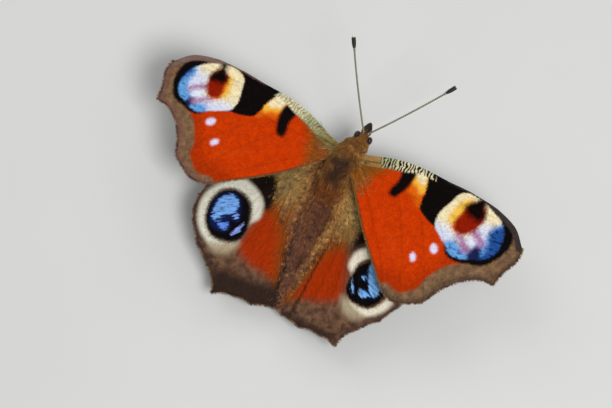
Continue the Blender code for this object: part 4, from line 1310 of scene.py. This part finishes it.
def marking_values(kind, wing, side, plan, rim):
    """What a wing's markings are painted from, in mm of its plan: the signed distance to
    each marking's edge, and the distances to the outer margin and the front edge."""
    painted = marking_plan(kind, side, plan)
    flat = np.zeros(len(plan))
    changes = MARKING_CHANGES.get(f"{kind}_{side}", {})
    values = {}
    for name, (_, _, shape) in wing["pattern"].items():
        *moved, wider = changes.get(name, (0, 0, 0))
        values[name] = to_shape(painted - moved, closed_spline(shape)) - wider
    depth = np.interp(plan[:, 1], *np.array(wing["band"]).T)
    values["rim"] = rim
    values["costa"] = to_line(plan, spline(wing["leading"]))
    values["band"] = rim - depth - changes.get("band", (0, 0, 0))[2]
    if kind == "forewing":
        # The distance to the line of the painted sunlight highlight
        values["sun"] = to_line(painted, np.array(HIGHLIGHT_LINE))
    # The right wings' edges are darker and their bars clearer than the left ones'
    values["crisp"] = flat + {"left": 0.0, "right": 1.0}[side]
    values["plan"] = np.stack([*painted.T, flat], 1)
    # Distance and angle from a point inside the root, so that scales run out from it
    from_inside = painted + FAN_INSIDE
    angle = np.arctan2(from_inside[:, 1], from_inside[:, 0])
    values["fan"] = np.stack([np.hypot(*from_inside.T), angle * FAN_RADIUS, flat], 1)
    return values


def fold_drop(wing, side, plan):
    """How far the inner fold hangs: the square of the distance past the old margin."""
    if "fold" not in wing:
        return np.zeros(len(plan))
    line = spline(inner_knots(wing, side))[::-1]
    order = np.argsort(line[:, 1])
    past = np.clip(np.interp(plan[:, 1], line[order, 1], line[order, 0]) - plan[:, 0], 0, 2)
    return 0.4 * past ** 2


def top_area(plan, quads):
    """Twice the signed plan area of a grid's first quad, whose sign says its winding."""
    a, b, c = plan[quads[0][:3]]
    return (b[0] - a[0]) * (c[1] - a[1]) - (b[1] - a[1]) * (c[0] - a[0])


def sheet_frame(wing, side, sign, plan, way):
    """Places on a wing's top sheet, its normal there, and a plan way along it."""
    step, lift = 0.05, 0.05

    def at(moved):
        """Plan points on the top sheet."""
        return wing_place(wing, side, sign, moved, lift - fold_drop(wing, side, moved))

    place = at(plan)
    along = unit(at(plan + step * way) - place)
    out = at(plan + np.array((step, 0))) - place
    ahead = at(plan + np.array((0, step))) - place
    normal = unit(np.cross(out, ahead))
    return place, normal * np.sign(normal[:, 2:]), along


def make_fringe(kind, wing, side, sign, rng, scene):
    """The fringe of hair scales on the outer and inner margins."""
    margin = margin_line(wing, side)
    line = np.vstack([margin, inner_line(wing, side)[1:]])
    length = run(line)
    count = int(length[-1] / FRINGE_STEP)
    at = np.sort(rng.random(count)) * length[-1]
    root = read_off(at, length, line)
    tangent = unit(read_off(at + 0.1, length, line) - read_off(at - 0.1, length, line))
    outward = np.stack([-tangent[:, 1], tangent[:, 0]], 1)
    if to_shape((root + outward * 0.2)[:1], closed_outline(wing, side))[0] < 0:
        outward = -outward
    way = unit(outward + tangent * rng.normal(0, 0.25, count)[:, None])
    place, normal, along = sheet_frame(wing, side, sign, root - outward * 0.12, way)
    made = blades(place, along, normal, 0.30 + 0.25 * rng.random(count),
                  0.07 + 0.05 * rng.random(count), rng.normal(0, 0.12, count),
                  rng.normal(0, 0.1, count))
    # Pale tufts about 3 mm apart; the forewing's inner margin is golden all along
    pale = (np.sin(at * 2 * np.pi / 3.1) > 0.35) * 0.5
    golden = (at > length[len(margin) - 1]) & (kind == "forewing")
    values = {"gold": np.where(golden, 0.3, 0.15 + pale),
              "dark": np.where(golden, 0.0, 0.55 - pale * 0.6),
              "mauve": np.where(golden, 0.0, 0.3), "tone": 0.7 + 0.5 * rng.random(count)}
    coat_piece(f"fringe_{kind}_{side}", made, values, plan_unwrap(root), scene)


def closed_outline(wing, side):
    """The wing's whole edge in plan, closed."""
    edge = np.vstack([spline(wing["leading"])[:-1], margin_line(wing, side)[:-1],
                      inner_line(wing, side)])
    return np.vstack([edge, edge[:1]])


def plan_unwrap(plan):
    """Where a wing's plan points lie in the square of an unwrap 60 mm wide."""
    return (plan + 30) / 60


def hair_chance(kind, wing, side, plan):
    """How likely long hair is at places on a wing: a step that falls where the hindwing's
    hair ends, or about the forewing's root."""
    u, v = plan.T
    if kind == "hindwing":
        ends = np.interp(v, [-23, -16, -11, -8.5, -6, -3, 0, 3],
                         [0.5, 0.8, 1.2, 3.0, 4.7, 5.6, 5.4, 4.6])
        chance = 1 / (1 + np.exp((u - ends) * 3.2))
        return chance * np.interp(v, [-23, -20, -14, -9, 3], [0.2, 0.5, 0.7, 1.0, 1.0])
    radius = {"left": 4.3, "right": 2.9}[side]
    chance = 1 / (1 + np.exp((np.hypot(u + 1.6, (v + 1.6) * 0.9) - radius) * 1.7))
    # and a line of it along the inner margin
    behind = v - np.interp(u, *np.array(wing["inner"][::-1]).T)
    far = {"left": 7.0, "right": 5.0}[side]
    chance = np.maximum(chance, np.exp(-(behind / 0.5) ** 2) * np.clip((far - u) / 3, 0, 1))
    if side == "right":
        tuft = np.exp(-((u - 3.4) / 1.7) ** 2 - ((v - 0.1) / 0.9) ** 2)
        chance = np.maximum(chance, 0.8 * tuft)
    return chance


def hair_looks(kind, wing, side, plan, tone):
    """The colours of a wing's long hair, and its tone with what lightens it."""
    u, v = plan.T
    if kind == "forewing":
        past = np.clip((to_line(plan, spline(wing["leading"])) - 1.5) / 1.5, 0, 1)
        flat = np.zeros(len(plan))
        return {"gold": flat + {"left": 0.3, "right": 0.8}[side], "dark": flat,
                "mauve": flat, "rust": {"left": 0.75, "right": 0.35}[side] * past,
                "olive": {"left": 0.8, "right": 0.3}[side] * (1 - past), "tone": tone}
    front = 1 / (1 + np.exp(-(v + 9.5) * 0.9)) * np.clip((u + 0.6) / 2.2, 0.1, 1)
    rear = np.clip((-5 - v) / 3, 0, 1)
    olive = 0.65 * np.clip((v + 8) / 5, 0, 1) * np.clip((u - 0.8) / 2.5, 0, 1)
    rust = 0.35 * np.clip((-6 - v) / 4, 0, 1) * np.clip((u - 1.0) / 2.0, 0, 1)
    tone = tone * (1 + {"left": 0.1, "right": 0.22}[side] * np.clip((v + 7) / 3, 0, 1))
    gold = 0.1 + 0.35 * front + 0.45 * front * np.clip((v + 6) / 4, 0, 1)
    dark = 0.1 * (1.2 - front)
    mauve = 0.12 + 0.7 * rear / (1 + np.exp((u - 0.35) * 8))
    # A golden line runs along the right wing's fold, and a dark one along the left's: painted
    # shadow in the groove beside the abdomen
    if side == "right":
        line = rear * np.exp(-((u - 1.0) / 0.45) ** 2)
        gold, rust = gold + 0.8 * line, rust * (1 - line)
        tone = tone * (1 + 0.15 * rear * np.exp(-(u / 0.6) ** 2))
    else:
        line = rear * np.exp(-((u - 0.4) / 0.3) ** 2)
        dark, gold = dark + 0.95 * line, gold * (1 - 0.8 * line)
        rust = rust + 0.45 * rear * np.exp(-((u - 0.6) / 0.8) ** 2)
    return {"gold": gold, "dark": dark, "mauve": mauve, "rust": rust, "olive": olive,
            "tone": tone}


def wing_coat(kind, wing, side, sign, count, rng, scene):
    """Long hair on a wing's base: a hindwing's lies back along the abdomen and covers
    its inner third, a forewing's only the root."""
    outline = closed_outline(wing, side)
    low, high = outline.min(0), outline.max(0)
    # Places all over the wing, of which those with hair are kept, up to the count
    many = count * PLACES_TRIED
    plan = low + rng.random((many, 2)) * (high - low)
    chance = hair_chance(kind, wing, side, plan)
    keep = (rng.random(many) < chance) & (to_shape(plan, outline) < -0.05)
    plan = plan[keep][:count]
    count = len(plan)
    u, v = plan.T
    if kind == "hindwing":
        angle = np.interp(v, [-22, -10, 0, 2], [-88, -80, -62, -45]) + u * 3
    else:
        angle = 20 + 8 * v - 3 * u
    angle = np.radians(angle + rng.normal(0, 26, count))
    way = np.stack([np.cos(angle), np.sin(angle)], 1)
    place, normal, along = sheet_frame(wing, side, sign, plan, way)
    long = np.interp(u, [-1, 1, 6], [1.1, 0.75, 0.5]) * (0.6 + 0.7 * rng.random(count))
    long = long * np.interp(v, [-18, -9], [0.7, 1.0])
    long = long * scene.butterfly_coat.length
    along, clump = clumped(place, along, long, WING_CLUMP, rng)
    made = blades(place - normal * ROOT_DEPTH, along, normal, long,
                  0.08 * (0.7 + 0.6 * rng.random(count)),
                  0.2 + 0.3 * rng.random(count), rng.normal(0, 0.14, count))
    tone = (0.9 + 0.4 * rng.random(count)) * np.exp(0.2 * clump)
    values = hair_looks(kind, wing, side, plan, tone)
    values["gold"] = np.clip(values["gold"] + 0.3 * clump, 0, 1.3)
    values["dark"] = np.clip(values["dark"] - 0.2 * clump, 0, 1)
    values["mauve"] = np.clip(values["mauve"] + rng.normal(0, 0.08, count), 0, 1)
    coat_piece(f"coat_{kind}_{side}", made, values, plan_unwrap(plan), scene)


def limb_coat(name, line_of, rng, scene, *, per_length, gold, dark, taper):
    """Short hair along thin limbs, so many locks a mm: they lean along the limb's line
    and are shorter by taper at its end, and darker there."""
    roots, ways, normals, shares = [], [], [], []
    for sign in SIDES.values():
        line, radii = line_of(sign)
        count = int(np.linalg.norm(np.diff(line, axis=0), axis=1).sum() * per_length)
        at = rng.random(count) * (len(line) - 1)
        numbers = np.arange(len(line))
        way = unit(read_off(at, numbers, unit(np.gradient(line, axis=0))))
        aside = unit(np.cross(way, (0.3, 0.1, 1.0)))
        above = np.cross(aside, way)
        turn = rng.random(count)[:, None] * 2 * np.pi
        normal = np.cos(turn) * aside + np.sin(turn) * above
        out = np.interp(at, numbers, radii)[:, None] - 0.02
        roots.append(read_off(at, numbers, line) + normal * out)
        ways.append(way)
        normals.append(normal)
        shares.append(np.stack([turn.ravel() / (2 * np.pi), at / len(line)], 1))
    roots, ways, normals, shares = (np.vstack(a) for a in (roots, ways, normals, shares))
    count = len(roots)
    far = shares[:, 1]
    shorter = 1 - taper * far
    long = LIMB_HAIR_LENGTH * shorter * (0.6 + 0.8 * rng.random(count))
    made = blades(roots, ways, normals, long,
                  LIMB_HAIR_WIDTH * (0.7 + 0.6 * rng.random(count)),
                  (0.2 + 0.5 * rng.random(count)) * shorter, rng.normal(0, 0.15, count))
    values = {"gold": gold * (1.3 - far) + 0.3 * rng.random(count),
              "dark": np.clip(dark + 0.75 * far + 0.3 * rng.random(count), 0, 1),
              "mauve": np.full(count, 0.5), "tone": 0.7 + (0.8 + dark) * rng.random(count)}
    coat_piece(name, made, values, shares, scene)


def make_coat(scene):
    """Hair over the head, thorax, abdomen, palps, forelegs and the bases of the wings."""
    rng = np.random.default_rng(COAT_SEED)
    for name, settings in BODY_COATS.items():
        body_coat(name, rng, scene, **settings)
    limb_coat("coat_palps", palp_line, rng, scene, per_length=1100, gold=0.4, dark=0.35,
              taper=0.75)
    limb_coat("coat_forelegs", foreleg_line, rng, scene, per_length=300, gold=0.5,
              dark=0.0, taper=0.0)
    for side, sign in SIDES.items():
        for kind, wing in WINGS.items():
            make_fringe(kind, wing, side, sign, rng, scene)
            count = int(WING_HAIRS[kind] * scene.butterfly_coat.density)
            wing_coat(kind, wing, side, sign, count, rng, scene)


# Settings

class WingSettings(bpy.types.PropertyGroup):
    """Sizes and colours of the wings"""
    vein_height: bpy.props.FloatProperty(
        name="Vein height", description="How far a vein stands over the membrane",
        default=0.12 * MM, min=0.0, max=0.4 * MM, unit="LENGTH", precision=5)
    membrane: bpy.props.FloatProperty(
        name="Membrane", description="Thickness of a wing between its veins",
        default=0.16 * MM, min=0.05 * MM, max=0.5 * MM, unit="LENGTH", precision=5)
    red: bpy.props.FloatVectorProperty(
        name="Red", description="Ground colour of the forewings", subtype="COLOR", size=4,
        default=linear("#CE3B00"), min=0.0, max=1.0)
    brown: bpy.props.FloatVectorProperty(
        name="Brown", description="Colour of the forewings' outer margin", subtype="COLOR",
        size=4, default=linear("#8A6A4A"), min=0.0, max=1.0)
    blue: bpy.props.FloatVectorProperty(
        name="Blue", description="Bright scales in the hindwing's eyespot", subtype="COLOR",
        size=4, default=linear("#7AAEF2"), min=0.0, max=1.0)


class CoatSettings(bpy.types.PropertyGroup):
    """How much hair there is, how long, and its colours"""
    density: bpy.props.FloatProperty(
        name="Density", description="Share of the full number of hair locks", default=1.0,
        min=0.1, max=1.0, subtype="FACTOR")
    length: bpy.props.FloatProperty(
        name="Length", description="Length of the hair against its real one", default=1.0,
        min=0.3, max=1.5)
    gold: bpy.props.FloatVectorProperty(
        name="Golden", description="Palest hair", subtype="COLOR", size=4,
        default=linear("#C2924A"), min=0.0, max=1.0)
    brown: bpy.props.FloatVectorProperty(
        name="Brown", description="Middle hair", subtype="COLOR", size=4,
        default=linear("#8E5420"), min=0.0, max=1.0)
    mauve: bpy.props.FloatVectorProperty(
        name="Mauve", description="Hair of the abdomen", subtype="COLOR", size=4,
        default=linear("#925C44"), min=0.0, max=1.0)
    dark: bpy.props.FloatVectorProperty(
        name="Dark", description="Hair of the stripe along the back", subtype="COLOR",
        size=4, default=linear("#3A2B27"), min=0.0, max=1.0)


class StageSettings(bpy.types.PropertyGroup):
    """Light and floor"""
    key_power: bpy.props.FloatProperty(
        name="Key light", description="Power of the soft light from above",
        default=1.35, min=0.0, unit="POWER")
    floor: bpy.props.FloatVectorProperty(
        name="Floor", description="Colour of the floor", subtype="COLOR", size=4,
        default=linear("#DDDDDA"), min=0.0, max=1.0)


def hair_colours(scene):
    """The coat's colours as set in the panel, by the names that body_colour has."""
    coat = scene.butterfly_coat
    return {"hair_gold": tuple(coat.gold), "hair_brown": tuple(coat.brown),
            "hair_mauve": tuple(coat.mauve), "hair_dark": tuple(coat.dark)}


def wing_colours(scene):
    """The wings' colours as set in the panel, by part or marking."""
    wings = scene.butterfly_wings
    return {"red": tuple(wings.red), "brown": tuple(wings.brown),
            "blue_upper": tuple(wings.blue), "blue_right": tuple(wings.blue)}


def make_stage(scene):
    """A pale floor, soft studio light, and the camera where the photo was taken from."""
    floor = bpy.data.meshes.new("floor")
    floor.from_pydata([(x * FLOOR_HALF, y * FLOOR_HALF, 0)
                       for x, y in ((-1, -1), (1, -1), (1, 1), (-1, 1))], [], [(0, 1, 2, 3)])
    # Matt board with faint clouds about 30 mm across
    material, shader, node = new_material("studio_floor", 0.9, 0.2)
    clouds = node("ramp", node("noise", node("place"), 30.0), 0.3, 0.7, 0.0, 0.05)
    feed(shader, {"Base Color": node("mix", clouds, tuple(scene.butterfly_stage.floor),
                                     linear("#FFFFFF"))})
    floor.materials.append(material)
    ground = bpy.data.objects.new("studio_floor", floor)
    scene.collection.objects.link(ground)
    for name, (place, size, share) in LIGHTS.items():
        data = bpy.data.lights.new(name, "AREA")
        data.size = size
        data.energy = scene.butterfly_stage.key_power * share
        light = bpy.data.objects.new(name, data)
        light.location = place
        light.rotation_euler = Vector(place).to_track_quat("Z", "Y").to_euler()
        scene.collection.objects.link(light)
    world = bpy.data.worlds.new("studio")
    world.use_nodes = True
    feed(world.node_tree.nodes["Background"], {0: SKY_COLOUR, 1: SKY_STRENGTH})
    scene.world = world
    scene.view_settings.view_transform = "Standard"
    add_camera(scene)


def add_camera(scene):
    """The photo's view: 75 degrees down from behind, turned in the picture. right, up and
    back are the camera's ways in body axes before the body's pitch."""
    turn = (Matrix.Rotation(math.radians(VIEW_ROLL), 3, "Z")
            @ Matrix.Rotation(math.radians(VIEW_TILT), 3, "X"))
    base = pitched(np.zeros(3))
    right, up, back = (Vector(pitched(np.array((-row[0], -row[1], row[2]))) - base)
                       for row in turn)
    body = Vector(in_frame(BODY_PLACE))
    aim = body + (right * (PHOTO_MIDDLE[0] - BODY_IN_PHOTO[0])
                  + up * (BODY_IN_PHOTO[1] - PHOTO_MIDDLE[1])) / PHOTO_PER_MM * MM
    place = body + back * VIEW_DISTANCE * MM
    data = bpy.data.cameras.new("camera")
    data.lens = 36.0 * VIEW_DISTANCE / (2 * PHOTO_MIDDLE[0] / PHOTO_PER_MM)
    data.clip_start, data.clip_end = 0.01, 10.0
    camera = bpy.data.objects.new("camera", data)
    away = (place - aim).normalized()
    across = up.cross(away).normalized()
    matrix = Matrix((across, away.cross(across), away)).transposed().to_4x4()
    matrix.translation = place
    camera.matrix_world = matrix
    scene.collection.objects.link(camera)
    scene.camera = camera


# Operators

class BuildBody(bpy.types.Operator):
    """Body skin over the solids' head, thorax and abdomen"""
    bl_idname = "butterfly.body"
    bl_label = "Body"

    def execute(self, context):
        make_body(context.scene)
        return {"FINISHED"}


class BuildHeadParts(bpy.types.Operator):
    """Eyes, palps, tongue and feelers"""
    bl_idname = "butterfly.head_parts"
    bl_label = "Head parts"

    def execute(self, context):
        make_head_parts()
        return {"FINISHED"}


class BuildLegs(bpy.types.Operator):
    """Walking legs and forelegs"""
    bl_idname = "butterfly.legs"
    bl_label = "Legs"

    def execute(self, context):
        make_legs()
        return {"FINISHED"}


class BuildWings(bpy.types.Operator):
    """The four wings with their veins and markings"""
    bl_idname = "butterfly.wings"
    bl_label = "Wings"

    def execute(self, context):
        for side, sign in SIDES.items():
            for kind, wing in WINGS.items():
                make_wing(kind, wing, side, sign, context.scene)
        return {"FINISHED"}


class BuildCoat(bpy.types.Operator):
    """Hair of the body and the wings' bases, and the wings' fringes"""
    bl_idname = "butterfly.coat"
    bl_label = "Coat"

    def execute(self, context):
        make_coat(context.scene)
        return {"FINISHED"}


class BuildStage(bpy.types.Operator):
    """Floor, lights and camera"""
    bl_idname = "butterfly.stage"
    bl_label = "Stage"

    def execute(self, context):
        make_stage(context.scene)
        return {"FINISHED"}


OPERATORS = (BuildStage, BuildBody, BuildHeadParts, BuildLegs, BuildWings, BuildCoat)


class ButterflyPanel(bpy.types.Panel):
    """The butterfly's settings and its pieces"""
    bl_idname = "VIEW3D_PT_butterfly"
    bl_label = "Peacock butterfly"
    bl_space_type = "VIEW_3D"
    bl_region_type = "UI"
    bl_category = "Butterfly"

    def draw(self, context):
        for group in (context.scene.butterfly_wings, context.scene.butterfly_coat,
                      context.scene.butterfly_stage):
            box = self.layout.box()
            for name in group.__annotations__:
                box.prop(group, name)
        for operator in OPERATORS:
            self.layout.operator(operator.bl_idname)


CLASSES = (WingSettings, CoatSettings, StageSettings, *OPERATORS, ButterflyPanel)


def register():
    """Adds the settings, operators and panel to Blender."""
    for cls in CLASSES:
        bpy.utils.register_class(cls)
    bpy.types.Scene.butterfly_wings = bpy.props.PointerProperty(type=WingSettings)
    bpy.types.Scene.butterfly_coat = bpy.props.PointerProperty(type=CoatSettings)
    bpy.types.Scene.butterfly_stage = bpy.props.PointerProperty(type=StageSettings)


def unregister():
    """Takes them out again."""
    del bpy.types.Scene.butterfly_stage
    del bpy.types.Scene.butterfly_coat
    del bpy.types.Scene.butterfly_wings
    for cls in reversed(CLASSES):
        bpy.utils.unregister_class(cls)


def main():
    """Builds all the pieces."""
    register()
    bpy.ops.butterfly.stage()
    bpy.ops.butterfly.body()
    bpy.ops.butterfly.head_parts()
    bpy.ops.butterfly.legs()
    bpy.ops.butterfly.wings()
    bpy.ops.butterfly.coat()


if __name__ == "__main__":
    main()
